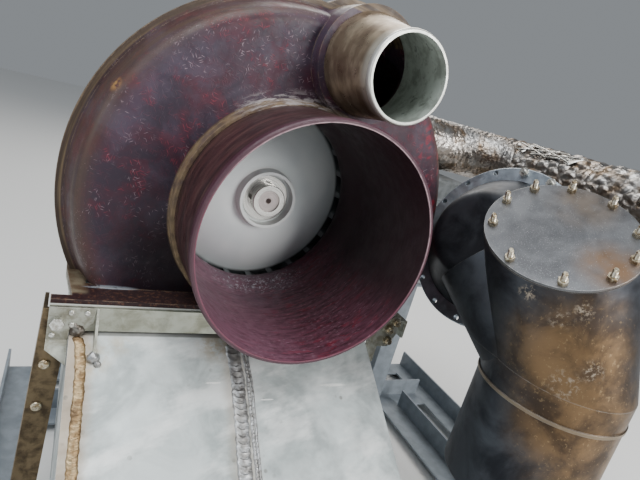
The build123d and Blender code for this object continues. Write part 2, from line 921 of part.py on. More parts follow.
cover_back_depth = gearbox_back_depth + cover_plate
with BuildPart() as gearbox_cover:
    with BuildSketch(front(cover_back_depth)):
        with Locations(((gearbox_left + gearbox_right) / 2, (gearbox_bottom + gearbox_top) / 2)):
            RectangleRounded(
                gearbox_right - gearbox_left - cover_margin,
                gearbox_top - gearbox_bottom - cover_margin,
                gearbox_corner - cover_margin / 2,
            )
    extrude(amount=cover_plate)
    chamfer(gearbox_cover.faces().filter_by(Axis.Y).sort_by(Axis.Y)[-1].edges(), cover_chamfer)
    screw_holes = cover_screw_sketch(cover_back_depth, cover_screw_radius + hole_gap)
    extrude(screw_holes, amount=cover_plate, mode=Mode.SUBTRACT)
save(gearbox_cover, "gearbox_cover")

with BuildPart() as gearbox_screws:
    screw_length = cover_plate + cover_screw_bite - hole_gap
    extrude(cover_screw_sketch(cover_back_depth, cover_screw_radius), amount=screw_length)
    extrude(cover_screw_sketch(cover_back_depth, cover_screw_head), amount=-cover_screw_head)
    chamfer(gearbox_screws.faces().filter_by(Axis.Y).group_by(Axis.Y)[-1].edges(), cover_chamfer)
save(gearbox_screws, "gearbox_screws")

# discharge duct: folded and welded sheet box that runs forward and down from the neck
duct_top = neck_bottom - duct_plate
with BuildPart() as discharge_duct:
    with BuildSketch(profile(duct_left)):
        with BuildLine():
            Polyline(
                (duct_fold[0], duct_top),
                duct_fold,
                duct_lip,
                duct_heel,
                (duct_back_depth, -duct_back_drop),
                (duct_back_depth, duct_top),
                close=True,
            )
        make_face()
    extrude(amount=duct_right - duct_left)
    back_edges = discharge_duct.edges().filter_by(Axis.X).sort_by_distance(
        from_mouth((duct_left + duct_right) / 2, duct_back_depth, -duct_back_drop)
    )
    fillet(back_edges[0], duct_back_bend)
    top_face = discharge_duct.faces().sort_by(Axis.Z)[-1]
    outlet_face = discharge_duct.faces().sort_by_distance(
        from_mouth(
            (duct_left + duct_right) / 2, (duct_lip[0] + duct_heel[0]) / 2, (duct_lip[1] + duct_heel[1]) / 2
        )
    )[0]
    offset(amount=-duct_wall, openings=[top_face, outlet_face], kind=Kind.INTERSECTION)
    cut_hole(front(0), mouth_relief, opening_front_depth)
save(discharge_duct, "discharge_duct")

with BuildPart() as duct_flange:
    flange_plate(neck_front_depth, duct_plate_back, duct_top, neck_bottom)
    block(
        neck_left, neck_right, neck_front_depth - strip_thickness, neck_front_depth, duct_fold[1], neck_bottom
    )
    cut_opening(-2 * drum_radius, -neck_drop)
    cut_hole(front(0), mouth_relief, opening_front_depth)
    with BuildSketch(front(neck_front_depth)):
        with Locations(*bracket_bolt_at):
            Circle(bolt_radius + hole_gap)
    extrude(amount=strip_thickness, mode=Mode.SUBTRACT)
    extrude(
        neck_bolt_discs(duct_top, neck_bolt_radius + hole_gap, 0, back_depth),
        amount=duct_plate,
        mode=Mode.SUBTRACT,
    )
save(duct_flange, "duct_flange")

with BuildPart() as neck_bolts:
    bolt_length = duct_plate + neck_bolt_bite - hole_gap
    extrude(neck_bolt_discs(duct_top, neck_bolt_radius, 0, back_depth), amount=bolt_length)
    extrude(neck_bolt_discs(duct_top, neck_bolt_head, 0, back_depth), amount=-neck_bolt_head_height)
save(neck_bolts, "neck_bolts")

# weld beads down the duct's sloping top
slope = Vector(0, duct_lip[0] - duct_fold[0], duct_lip[1] - duct_fold[1])
slope_length = slope.length


def weld_plane(x):
    """Plane across a bead at the top of the slope: across, then out of the sheet."""
    along = slope.normalized()
    return Plane(origin=from_mouth(x, *duct_fold) + slope * weld_start, x_dir=(1, 0, 0), z_dir=along)


with BuildPart() as weld_beads:
    for x in (left_weld_x, middle_weld_x):
        with BuildSketch(weld_plane(x)):
            with BuildLine():
                ThreePointArc((-weld_width / 2, 0), (0, weld_height), (weld_width / 2, 0))
                Line((weld_width / 2, 0), (-weld_width / 2, 0))
            make_face()
        extrude(amount=slope_length * (1 - 2 * weld_start))
save(weld_beads, "weld_beads")

strip_front_depth = neck_front_depth - strip_thickness
bracket_front_depth = strip_front_depth - bracket_plate


def upright_plate(points, near, thickness):
    """Plate across the fan axis from (x, height) corners, thickened backwards from its front."""
    with BuildSketch(front(near)) as outline:
        with BuildLine():
            Polyline(*points, close=True)
        make_face()
    extrude(outline.sketch, amount=-thickness)


def side_plate(points, x, thickness):
    """Plate along the fan axis from (depth, height) corners."""
    with BuildSketch(profile(x)) as outline:
        with BuildLine():
            Polyline(*points, close=True)
        make_face()
    extrude(outline.sketch, amount=thickness)


def dome_heads(places, near, radius, height):
    """Rounded heads standing forward from a plane across the fan axis."""
    with BuildPart() as heads:
        with BuildSketch(front(near)):
            with Locations(*places):
                Circle(radius)
        extrude(amount=height)
        fillet(heads.faces().filter_by(Axis.Y).group_by(Axis.Y)[0].edges(), height * head_round)
    return heads.part


def hexagon_heads(places, near, radius, height):
    with BuildSketch(front(near)) as heads:
        with Locations(*places):
            RegularPolygon(radius, 6)
    extrude(heads.sketch, amount=height)


def shanks(places, near, far, radius, mode=Mode.ADD):
    with BuildSketch(front(far)) as pins:
        with Locations(*places):
            Circle(radius)
    extrude(pins.sketch, amount=far - near, mode=mode)


# left bracket: riveted plate with a folded tab, a gusset beside it and the leg behind
with BuildPart() as left_bracket:
    upright_plate(
        (
            (bracket_left, neck_bottom + bracket_overlap),
            (bracket_right, neck_bottom + bracket_overlap),
            (bracket_right, bracket_bottom + bracket_side),
            (bracket_right - bracket_slant, bracket_bottom + bracket_foot),
            (bracket_left + tab_width, bracket_bottom + bracket_foot),
            (bracket_left + tab_width, bracket_bottom),
            (bracket_left, bracket_bottom),
        ),
        bracket_front_depth,
        bracket_plate,
    )
    tab_plane = Plane(
        origin=from_mouth(bracket_left, bracket_front_depth, bracket_bottom),
        x_dir=(1, 0, 0),
        z_dir=Vector(0, 1, 0).rotate(Axis.X, -tab_fold),
    )
    with BuildSketch(tab_plane):
        with BuildLine():
            Polyline(
                (0, -tab_overlap),
                (tab_width, -tab_overlap),
                (tab_width, tab_long_side),
                (0, tab_short_side),
                close=True,
            )
        make_face()
    extrude(amount=bracket_plate)
    rivet_hole = rivet_shank + running_gap
    shanks(bracket_rivets_at, bracket_front_depth, strip_front_depth, rivet_hole, Mode.SUBTRACT)
    shanks(bracket_bolt_at, bracket_front_depth, strip_front_depth, bolt_radius + hole_gap, Mode.SUBTRACT)
save(left_bracket, "left_bracket")

with BuildPart() as left_gusset:
    side_plate(
        (
            (strip_front_depth, neck_bottom),
            (gusset_front_depth, gusset_front_height),
            (gusset_front_depth, duct_fold[1] - (duct_fold[0] - gusset_front_depth) * slope.Z / slope.Y),
            (strip_front_depth, duct_fold[1] - (duct_fold[0] - strip_front_depth) * slope.Z / slope.Y),
        ),
        gusset_x - bracket_plate / 2,
        bracket_plate,
    )
save(left_gusset, "left_gusset")

with BuildPart() as bracket_rivets:
    add(dome_heads(bracket_rivets_at, bracket_front_depth, rivet_radius, rivet_head_height))
    shanks(bracket_rivets_at, bracket_front_depth, strip_front_depth, rivet_shank)
save(bracket_rivets, "bracket_rivets")

# front left leg, an angle that leans outwards; its front leaf is bolted behind the strip
leg_back_depth = neck_front_depth + leg_wall
leg_top = duct_top
leg_drop = leg_top - rail_floor
lean = Vector(-1, 0, 0) * math.tan(math.radians(leg_lean)) + Vector(0, 0, -1)
with BuildPart() as front_left_leg:
    with BuildSketch(level(leg_top)):
        with Locations((leg_left + leg_width / 2, neck_front_depth + leg_wall / 2)):
            Rectangle(leg_width, leg_wall)
        with Locations((leg_left + leg_wall / 2, neck_front_depth + leg_depth / 2)):
            Rectangle(leg_wall, leg_depth)
    extrude(amount=lean.length * leg_drop, dir=lean)
    shanks(bracket_bolt_at, neck_front_depth, leg_back_depth, bolt_radius + hole_gap, Mode.SUBTRACT)
save(front_left_leg, "front_left_leg")

leg_bolts_at = [
    (leg_left + leg_bolt_inset - drop * math.tan(math.radians(leg_lean)), leg_top - drop)
    for drop in leg_bolt_drops
]
with BuildPart() as leg_bolts:
    add(dome_heads(leg_bolts_at, neck_front_depth, leg_bolt_radius, leg_bolt_height))
save(leg_bolts, "leg_bolts")

with BuildPart() as bracket_bolt:
    hexagon_heads(bracket_bolt_at, bracket_front_depth, bolt_head_radius, bolt_head_height)
    shanks(bracket_bolt_at, bracket_front_depth, leg_back_depth + bolt_head_height, bolt_radius)
    hexagon_heads(bracket_bolt_at, leg_back_depth + bolt_head_height, bolt_head_radius, bolt_head_height)
save(bracket_bolt, "bracket_bolt")

# right bracket with its three nuts, and the strut that ties it to the gearbox
with BuildPart() as right_bracket:
    upright_plate(
        (
            (right_bracket_left, neck_bottom),
            (right_bracket_right, -neck_drop),
            (right_bracket_right, right_bracket_bottom + right_bracket_side),
            (right_bracket_right - right_bracket_slant, right_bracket_bottom),
            (right_bracket_left + right_tab_width, right_bracket_bottom),
            (right_bracket_left + right_tab_width, right_tab_bottom),
            (right_bracket_left, right_tab_bottom),
        ),
        bracket_front_depth,
        bracket_plate,
    )
save(right_bracket, "right_bracket")

with BuildPart() as right_bolts:
    hexagon_heads(right_nuts_at, bracket_front_depth, right_nut_radius, bolt_head_height)
    shanks(right_nuts_at, bracket_front_depth - right_bolt_reach, bracket_front_depth, bolt_radius)
save(right_bolts, "right_bolts")

with BuildPart() as right_strut:
    block(
        strut_left,
        strut_left + strut_size,
        strip_front_depth,
        gearbox_front_depth,
        strut_top - strut_wall,
        strut_top,
    )
    block(
        strut_left + strut_size - strut_wall,
        strut_left + strut_size,
        strip_front_depth,
        gearbox_front_depth,
        strut_top - strut_size,
        strut_top,
    )
save(right_strut, "right_strut")


# plenum: welded sheet elbow from the ring, with a port under the cover and an intake duct below
port_lift = -cover_thickness - gasket_thickness


def oval(lift, margin):
    with BuildSketch(facing(cover_centre, cover_normal, lift)) as outline:
        Ellipse(cover_half_length - margin, cover_half_height - margin)
    return outline.sketch


def plenum_form(wall):
    """Outer form of the plenum, its hollow for a wall above zero, or its room for one below."""
    with BuildPart() as form:
        neck = disc(facing(ring_centre, ring_normal, -ring_thickness - wall), ring_inner_radius - wall)
        extrude(neck, amount=ring_thickness + dome_rise)
        dome = disc(facing(ring_centre, ring_normal, dome_rise - wall), ring_inner_radius - wall)
        extrude(dome, amount=dome_height - dome_rise, taper=dome_taper)
        neck_end = form.faces().sort_by(Axis(from_mouth(*ring_centre), ring_normal))[-1]
        fillet(neck_end.edges(), dome_corner - wall)
        intake_start = disc(level(intake_top), intake_radius - wall, intake_x, intake_depth)
        extrude(intake_start, amount=intake_bottom - wall - intake_top)
        loft([oval(port_lift - wall, wall), intake_start])
        elbow = from_mouth(intake_x, intake_depth, intake_top - elbow_sink) - from_mouth(*elbow_start)
        elbow_plane = Plane(origin=from_mouth(*elbow_start), z_dir=elbow.normalized())
        extrude(disc(elbow_plane, elbow_radius - wall), amount=elbow.length + elbow_overrun)
        extrude(oval(port_lift - wall, -2 * port_lip), amount=cover_half_length, mode=Mode.SUBTRACT)
    return form.part


with BuildPart() as plenum_shell:
    add(plenum_form(0))
    extrude(
        disc(level(seam_drop), intake_radius + seam_reach, intake_x, intake_depth), amount=seam_height
    )
    add(plenum_form(plenum_wall), mode=Mode.SUBTRACT)
    extrude(oval(port_lift, port_lip), amount=-3 * plenum_wall, mode=Mode.SUBTRACT)

# the vertical duct takes in the foot of the elbow, up to the welded joint below the chamber
with BuildPart() as plenum_body:
    add(plenum_shell.part)
    split(bisect_by=level(joint_drop), keep=Keep.TOP)
save(plenum_body, "plenum_body")

with BuildPart() as intake_duct:
    add(plenum_shell.part)
    split(bisect_by=level(joint_drop), keep=Keep.BOTTOM)
save(intake_duct, "intake_duct")

ring_top = facing(ring_centre, ring_normal)
with BuildPart() as ring_flange:
    with BuildSketch(ring_top):
        Circle(ring_radius)
        Circle(ring_inner_radius + bond_gap, mode=Mode.SUBTRACT)
        with PolarLocations(ring_hole_circle, ring_hole_count, start_angle=ring_hole_turn):
            Circle(ring_hole_radius, mode=Mode.SUBTRACT)
    extrude(amount=-ring_thickness)
    chamfer(ring_flange.edges().filter_by(GeomType.CIRCLE).group_by(SortBy.RADIUS)[-1], ring_chamfer)
    add(plenum_form(-bond_gap), mode=Mode.SUBTRACT)
save(ring_flange, "ring_flange")


def ring_bolt_sketch(radius, sides=0):
    """Bolt discs or hexagons on the ring's face, at the filled holes."""
    with BuildSketch(ring_top) as bolts:
        for turn in ring_bolt_turns:
            angle = ring_hole_turn + turn * 360 / ring_hole_count
            with PolarLocations(ring_hole_circle, 1, start_angle=angle):
                if sides:
                    RegularPolygon(radius, sides)
                else:
                    Circle(radius)
    return bolts.sketch


with BuildPart() as ring_bolts:
    extrude(ring_bolt_sketch(bolt_head_radius, 6), amount=bolt_head_height)
    extrude(ring_bolt_sketch(ring_hole_radius - hole_gap), amount=bolt_head_height + ring_bolt_tail)
    extrude(ring_bolt_sketch(ring_hole_radius - hole_gap), amount=-ring_thickness)
save(ring_bolts, "ring_bolts")

with BuildPart() as compressor_casing:
    add(core_form(0))
    add(plenum_form(-seat_gap), mode=Mode.SUBTRACT)
save(compressor_casing, "compressor_casing")

with BuildPart() as cover_gasket:
    extrude(oval(port_lift, 0), amount=gasket_thickness)
    extrude(oval(port_lift, port_lip), amount=gasket_thickness, mode=Mode.SUBTRACT)
save(cover_gasket, "cover_gasket")

with BuildPart() as oval_cover:
    extrude(oval(0, 0), amount=-cover_thickness)
save(oval_cover, "oval_cover")


def stud_sketch(radius, sides=0):
    with BuildSketch(facing(cover_centre, cover_normal)) as studs:
        for angle in stud_angles:
            with PolarLocations(stud_circle, 1, start_angle=angle):
                if sides:
                    RegularPolygon(radius, sides)
                else:
                    Circle(radius)
    return studs.sketch


with BuildPart() as cover_studs:
    extrude(stud_sketch(stud_radius), amount=stud_height)
save(cover_studs, "cover_studs")

with BuildPart() as cover_nuts:
    extrude(stud_sketch(stud_nut_radius, 6), amount=stud_nut_height)
    extrude(stud_sketch(stud_radius + fit_gap), amount=stud_nut_height, mode=Mode.SUBTRACT)
save(cover_nuts, "cover_nuts")

# bleed pipe with its foil wrap, from a port block on the gearbox round to the clamp on the right leg
pipe_depth = back_depth + pipe_clearance + port_block_width / 2
pipe_path = (
    from_mouth(pipe_start_x, pipe_depth, pipe_height),
    from_mouth(pipe_end_x, pipe_depth, pipe_height),
    from_mouth(pipe_end_x, pipe_end_depth, pipe_height),
)


def pipe(outer, inner):
    with BuildPart() as tube:
        with BuildLine():
            FilletPolyline(*pipe_path, radius=pipe_bend)
        with BuildSketch(Plane(origin=pipe_path[0], x_dir=(0, 1, 0), z_dir=(1, 0, 0))):
            Circle(outer)
            Circle(inner, mode=Mode.SUBTRACT)
        sweep()
    return tube


bleed_pipe = pipe(pipe_bore + pipe_wall, pipe_bore)
save(bleed_pipe, "bleed_pipe")
pipe_wrap = pipe(pipe_radius, pipe_bore + pipe_wall + bond_gap)
save(pipe_wrap, "pipe_wrap")

port_plane = Plane(origin=pipe_path[0], x_dir=(0, 1, 0), z_dir=(1, 0, 0))
with BuildPart() as port_block:
    block(
        pipe_start_x - port_block_length,
        pipe_start_x,
        pipe_depth - port_block_width / 2,
        pipe_depth + port_block_width / 2,
        gearbox_top,
        pipe_height + port_block_width / 2,
    )
    fillet(port_block.edges().filter_by(Axis.X).group_by(Axis.Z)[-1], gearbox_corner)
    extrude(disc(port_plane, pipe_bore), amount=-port_block_length / 2, mode=Mode.SUBTRACT)
save(port_block, "port_block")

clamp_near = right_leg_depth + leg_wall
clamp_plane = Plane(
    origin=from_mouth(pipe_end_x, clamp_near, pipe_height), x_dir=(1, 0, 0), z_dir=(0, -1, 0)
)
clamp_inner = pipe_radius + bond_gap
clamp_outer = clamp_inner + clamp_thickness
clamp_bolt_at = ((right_leg_x + right_leg_width - lug_edge, pipe_height),)
lug_left = right_leg_x + right_leg_width - 2 * lug_edge
lug_low = pipe_height - lug_edge
lug_high = pipe_height + lug_edge
lug_back = clamp_near + clamp_thickness
with BuildPart() as pipe_clamp:
    extrude(disc(clamp_plane, clamp_outer), amount=-clamp_width)
    block(lug_left, pipe_end_x - clamp_inner, clamp_near, lug_back, lug_low, lug_high)
    extrude(disc(clamp_plane, clamp_inner), amount=-clamp_width, mode=Mode.SUBTRACT)
    shanks(clamp_bolt_at, clamp_near, lug_back, bolt_radius + hole_gap, Mode.SUBTRACT)
save(pipe_clamp, "pipe_clamp")


# right leg, an unequal angle with the clamp's lug bolted behind its front leaf
with BuildPart() as right_leg:
    block(
        right_leg_x,
        right_leg_x + right_leg_width,
        right_leg_depth,
        right_leg_depth + leg_wall,
        rail_floor,
        right_leg_top,
    )
    block(
        right_leg_x,
        right_leg_x + leg_wall,
        right_leg_depth,
        right_leg_depth + right_leg_side,
        rail_floor,
        right_leg_top,
    )
    shanks(clamp_bolt_at, right_leg_depth, clamp_near, bolt_radius + hole_gap, Mode.SUBTRACT)
save(right_leg, "right_leg")

with BuildPart() as clamp_bolt:
    hexagon_heads(clamp_bolt_at, right_leg_depth, bolt_head_radius, bolt_head_height)
    shanks(clamp_bolt_at, right_leg_depth, lug_back + bolt_head_height, bolt_radius)
    hexagon_heads(clamp_bolt_at, lug_back + bolt_head_height, bolt_head_radius, bolt_head_height)
save(clamp_bolt, "clamp_bolt")


def rail(left, right, near, far, name, wall_side):
    """Angle rail lying on its leaf, with its upright leaf on one side."""
    sides = {
        "left": (left, left + rail_wall, near, far),
        "right": (right - rail_wall, right, near, far),
        "near": (left, right, near, near + rail_wall),
        "far": (left, right, far - rail_wall, far),
    }
    with BuildPart() as angle:
        block(left, right, near, far, rail_bottom, rail_floor)
        block(*sides[wall_side], rail_floor, rail_bottom + rail_size)
    save(angle, name)


inner_left = base_left + rail_size
inner_right = base_right - rail_size
middle_back = gearbox_front_depth + post_size + post_clearance
rail(base_left, inner_left, base_front, base_back, "left_rail", "left")
rail(inner_right, base_right, base_front, base_back, "right_rail", "right")
rail(inner_left, inner_right, base_front, base_front + rail_size, "front_rail", "near")
rail(inner_left, inner_right, middle_back - rail_size, middle_back, "middle_rail", "far")
leg_rail_right = right_leg_x + right_leg_width + rail_wall
rail(right_leg_x, leg_rail_right, base_front + rail_size, middle_back - rail_size, "leg_rail", "right")
rail(inner_left, inner_right, base_back - rail_size, base_back, "rear_rail", "far")


def post(x, back, name):
    """Square tube post on a rail, with its top plate under the gearbox."""
    centre = (x, back - rail_wall - post_size / 2)
    with BuildPart() as column:
        with BuildSketch(level(rail_floor)):
            with Locations(centre):
                Rectangle(post_size, post_size)
                Rectangle(post_size - 2 * post_wall, post_size - 2 * post_wall, mode=Mode.SUBTRACT)
        extrude(amount=gearbox_bottom - post_plate - rail_floor)
        with BuildSketch(level(gearbox_bottom)):
            with Locations(centre):
                Rectangle(post_plate_length, post_size)
        extrude(amount=-post_plate)
    save(column, name)


post(left_post_x, middle_back, "left_middle_post")
post(right_post_x, middle_back, "right_middle_post")
post(left_post_x, base_back, "left_rear_post")
post(right_post_x, base_back, "right_rear_post")

with BuildPart() as foot_pads:
    with BuildSketch(level(floor_drop)):
        with Locations(
            (base_left + rail_size / 2, base_front + rail_size / 2),
            (base_right - rail_size / 2, base_front + rail_size / 2),
            (base_left + rail_size / 2, base_back - rail_size / 2),
            (base_right - rail_size / 2, base_back - rail_size / 2),
        ):
            Circle(foot_radius)
    extrude(amount=foot_height)
    chamfer(foot_pads.faces().filter_by(Axis.Z).group_by(Axis.Z)[0].edges(), foot_chamfer)
save(foot_pads, "foot_pads")
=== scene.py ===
import math

import bmesh
import bpy
from mathutils import Matrix, Vector, noise


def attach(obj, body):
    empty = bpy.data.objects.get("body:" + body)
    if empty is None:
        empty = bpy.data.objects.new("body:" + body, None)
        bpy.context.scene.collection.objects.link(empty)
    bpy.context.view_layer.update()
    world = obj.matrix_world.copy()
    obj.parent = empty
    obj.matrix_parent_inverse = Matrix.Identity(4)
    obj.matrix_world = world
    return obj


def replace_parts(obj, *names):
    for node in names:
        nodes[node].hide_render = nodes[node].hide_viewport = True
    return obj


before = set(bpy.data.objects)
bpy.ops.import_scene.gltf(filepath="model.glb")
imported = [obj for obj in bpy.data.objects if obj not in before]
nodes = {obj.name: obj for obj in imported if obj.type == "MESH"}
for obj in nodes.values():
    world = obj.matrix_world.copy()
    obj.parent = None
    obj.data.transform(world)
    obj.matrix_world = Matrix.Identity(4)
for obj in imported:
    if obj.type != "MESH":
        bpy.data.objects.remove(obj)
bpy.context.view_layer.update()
print("frame loaded:", len(nodes), "CAD nodes")

# the middle of the inlet mouth's rim; the places below are given from it, in millimetres
mouthCentre = Vector((-0.1, -0.1, 0.34))
mm = 0.001


def fromMouth(x, depth, height):
    return mouthCentre + Vector((x, depth, height)) * mm


# camera at the photographer's place, with a wide phone lens
view = {
    "place": (-186.0, -327.5, 113.4),
    "forward": (0.4638, 0.8444, -0.2682),
    "up": (-0.1094, 0.3550, 0.9285),
    "lens": 28.125,
    "sensor": 36.0,
    "nearest": 0.01,
}


def placeCamera():
    lens = bpy.data.cameras.new("viewCamera")
    lens.lens = view["lens"]
    lens.sensor_width = view["sensor"]
    lens.clip_start = view["nearest"]
    camera = bpy.data.objects.new("viewCamera", lens)
    bpy.context.scene.collection.objects.link(camera)
    forward = Vector(view["forward"]).normalized()
    side = forward.cross(Vector(view["up"])).normalized()
    top = side.cross(forward)
    turn = Matrix((side, top, -forward)).transposed()
    camera.matrix_world = Matrix.Translation(fromMouth(*view["place"])) @ turn.to_4x4()
    bpy.context.scene.camera = camera


placeCamera()
print("camera placed")

# soft studio light over a pale floor
studio = {
    "floor": (0.78, 0.78, 0.77),
    "floorSize": 9.0,
    "floorRoughness": 0.75,
    "surround": (0.88, 0.94, 1.0),
    "surroundStrength": 0.28,
    "softboxes": [
        # name, place (m), aimed at (m), size (m), watts, colour
        ("keyBox", (0.86, -1.62, 1.02), (-0.1, 0.05, 0.34), 0.9, 44.0, (1.0, 0.99, 0.97)),
        ("overheadBox", (-0.6, -0.4, 2.0), (-0.1, -0.1, 0.25), 1.4, 36.0, (0.97, 0.99, 1.0)),
        ("leftBox", (-2.0, -0.5, 0.9), (-0.1, 0.0, 0.35), 1.1, 8.0, (0.90, 0.95, 1.0)),
        ("backBox", (0.6, 1.4, 1.6), (0.1, 0.0, 0.4), 1.2, 20.0, (1.0, 0.96, 0.90)),
    ],
}


def setUpStudio():
    bpy.ops.mesh.primitive_plane_add(size=studio["floorSize"], location=(0.0, 0.0, 0.0))
    floor = bpy.context.object
    floor.name = "studioFloor"
    paint = Finish("studioFloorPaint", roughness=studio["floorRoughness"])
    paint.colour(studio["floor"])
    floor.data.materials.append(paint.material)
    world = bpy.data.worlds.new("studioAir")
    world.use_nodes = True
    background = world.node_tree.nodes["Background"]
    background.inputs["Color"].default_value = (*studio["surround"], 1.0)
    background.inputs["Strength"].default_value = studio["surroundStrength"]
    bpy.context.scene.world = world
    for name, place, aim, size, watts, tint in studio["softboxes"]:
        lamp = bpy.data.lights.new(name, "AREA")
        lamp.shape = "SQUARE"
        lamp.size = size
        lamp.energy = watts
        lamp.color = tint
        box = bpy.data.objects.new(name, lamp)
        bpy.context.scene.collection.objects.link(box)
        box.location = place
        box.rotation_euler = (Vector(aim) - Vector(place)).to_track_quat("-Z", "Y").to_euler()


# how the sharp edges are softened and found in every finish
edgeLook = {"roundSamples": 4, "wearSamples": 6, "wearFrom": (0.02, 0.25)}
fullRange = (0.0, 1.0)


class Finish:
    # a shader and the procedural nodes that colour it, in the object's own coordinates;
    # grain sizes are in metres, places and distances from the mouth in millimetres

    def __init__(self, name, corner=0.0, metallic=0.0, roughness=0.5, coat=(0.0, 0.15), specular=0.5):
        # sharp edges are rounded in shading by the corner's radius
        self.material = bpy.data.materials.new(name)
        self.material.use_nodes = True
        self.tree = self.material.node_tree
        self.shader = self.tree.nodes["Principled BSDF"]
        settings = {"Metallic": metallic, "Roughness": roughness, "Specular IOR Level": specular}
        settings.update(zip(("Coat Weight", "Coat Roughness"), coat))
        for socket, value in settings.items():
            self.shader.inputs[socket].default_value = value
        self.place = self.node("TexCoord").outputs["Object"]
        self.edgeNormal = None
        if corner:
            bevel = self.node("Bevel", {"Radius": corner}, samples=edgeLook["roundSamples"])
            self.edgeNormal = bevel.outputs["Normal"]
            self.plug(self.shader.inputs["Normal"], self.edgeNormal)

    def plug(self, socket, value):
        if isinstance(value, bpy.types.NodeSocket):
            self.tree.links.new(value, socket)
        elif isinstance(value, (tuple, list)) and len(value) == 3 and socket.type == "RGBA":
            socket.default_value = (*value, 1.0)
        else:
            socket.default_value = value

    def node(self, kind, inputs=(), **settings):
        # new shader node with its settings, and what goes into its sockets
        node = self.tree.nodes.new("ShaderNode" + kind)
        for name, value in settings.items():
            setattr(node, name, value)
        for socket, value in dict(inputs).items():
            self.plug(node.inputs[socket], value)
        return node

    def turned(self, scale=(1, 1, 1), shift=(0, 0, 0)):
        inputs = {"Location": shift, "Scale": scale, "Vector": self.place}
        return self.node("Mapping", inputs).outputs["Vector"]

    def laid(self, turn, lengths, source=None):
        # coordinates for streaks: turned first, then stretched to the lengths along each side
        rotation = [math.radians(a) for a in turn]
        inputs = {"Rotation": rotation, "Scale": lengths, "Vector": source or self.place}
        return self.node("Mapping", inputs, vector_type="TEXTURE").outputs["Vector"]

    def cloud(self, size, detail=4.0, rough=0.55, source=None, warp=0.0):
        inputs = {"Scale": 1.0 / size, "Detail": detail, "Roughness": rough, "Distortion": warp}
        inputs["Vector"] = source or self.place
        return self.node("TexNoise", inputs).outputs["Fac"]

    def patches(self, size, levels, ends=fullRange, detail=4.0, rough=0.55, warp=0.0):
        return self.ramp(self.cloud(size, detail, rough, warp=warp), *levels, *ends)

    def mottled(self, first, second, *size, **kind):
        return self.blend(self.patches(*size, **kind), first, second)

    def streaks(self, lengths, detail, rough, source=None, turn=(0, 0, 0), warp=0.0):
        return self.cloud(1.0, detail, rough, self.laid(turn, lengths, source), warp)

    def cells(self, size, source=None, kind="F1"):
        inputs = {"Scale": 1.0 / size, "Vector": source or self.place}
        return self.node("TexVoronoi", inputs, feature=kind)

    def cracks(self, size, levels, ends=fullRange, scale=(1, 1, 1)):
        # distance from the borders between cells
        texture = self.cells(size, self.turned(scale=scale), "DISTANCE_TO_EDGE")
        return self.ramp(texture.outputs["Distance"], *levels, *ends)

    def flecks(self, long, wide, share, turns, source=None):
        # separate short fibres, a share of the cells holding one, laid at several turns
        total = None
        for turn in turns:
            texture = self.cells(1.0, self.laid(turn, (long, wide, wide), source))
            inside = self.ramp(texture.outputs["Distance"], 0.20, 0.34, 1.0, 0.0)
            chosen = self.ramp(self.axis("X", texture.outputs["Color"]), 1 - share, 1.01 - share)
            one = self.times(inside, chosen)
            total = one if total is None else self.reckon("MAXIMUM", total, one)
        return total

    def reckon(self, kind, a, b=0.0, clamp=False):
        return self.node("Math", {0: a, 1: b}, operation=kind, use_clamp=clamp).outputs[0]

    def add(self, a, b, clamp=False):
        return self.reckon("ADD", a, b, clamp)

    def times(self, *values):
        total = values[0]
        for value in values[1:]:
            total = self.reckon("MULTIPLY", total, value)
        return total

    def ramp(self, value, low, high, start=0.0, end=1.0):
        inputs = {"Value": value, "From Min": low, "From Max": high, "To Min": start, "To Max": end}
        return self.node("MapRange", inputs, interpolation_type="SMOOTHSTEP").outputs["Result"]

    def blend(self, amount, first, second):
        return self.node("Mix", {0: amount, 6: first, 7: second}, data_type="RGBA").outputs[2]

    def over(self, under, tone, *masks):
        # a tone over another where all the masks are 1
        return self.blend(self.times(*masks), under, tone)

    def axis(self, name, source=None):
        return self.node("SeparateXYZ", {0: source or self.place}).outputs[name]

    def dot(self, first, second):
        return self.node("VectorMath", {0: first, 1: second}, operation="DOT_PRODUCT").outputs["Value"]

    def fromCentre(self, name):
        # metres from the middle of the mouth along one side
        return self.reckon("SUBTRACT", self.axis(name), getattr(mouthCentre, name.lower()))

    def past(self, name, levels, ends=fullRange):
        # from one end to the other between two places along a side
        start = getattr(mouthCentre, name.lower())
        return self.ramp(self.axis(name), *(start + level * mm for level in levels), *ends)

    def reach(self, centre, squeeze=(1, 1, 1)):
        # distance from a place; a side with a squeeze of 0 doesn't count
        shift = [-c * s for c, s in zip(fromMouth(*centre), squeeze)]
        vector = self.turned(scale=squeeze, shift=shift)
        return self.node("VectorMath", {0: vector}, operation="LENGTH").outputs["Value"]

    def near(self, centre, size, soft=0.5, squeeze=(1, 1, 1)):
        # 1 within a size of a place, fading to 0 outside
        return self.ramp(self.reach(centre, squeeze), size * mm * (1 - soft), size * mm, 1.0, 0.0)

    def ring(self, levels, ends=fullRange):
        # from one end to the other between two distances from the fan's axis
        radius = self.reach((0, 0, 0), (1, 0, 1))
        return self.ramp(radius, *(level * mm for level in levels), *ends)

    def aroundFan(self):
        # way round the fan axis from its foot, depth, and distance from the axis
        upward = self.reckon("SUBTRACT", mouthCentre.z, self.axis("Z"))
        angle = self.reckon("ARCTAN2", self.fromCentre("X"), upward)
        parts = {0: self.times(angle, 0.1), 1: self.axis("Y"), 2: self.reach((0, 0, 0), (1, 0, 1))}
        return self.node("CombineXYZ", parts).outputs[0]

    def edges(self, radius):
        # 1 along the sharp edges, 0 on flat ground
        bevel = self.node("Bevel", {"Radius": radius}, samples=edgeLook["wearSamples"])
        same = self.dot(bevel.outputs["Normal"], self.node("NewGeometry").outputs["Normal"])
        return self.ramp(self.reckon("SUBTRACT", 1.0, same), *edgeLook["wearFrom"])

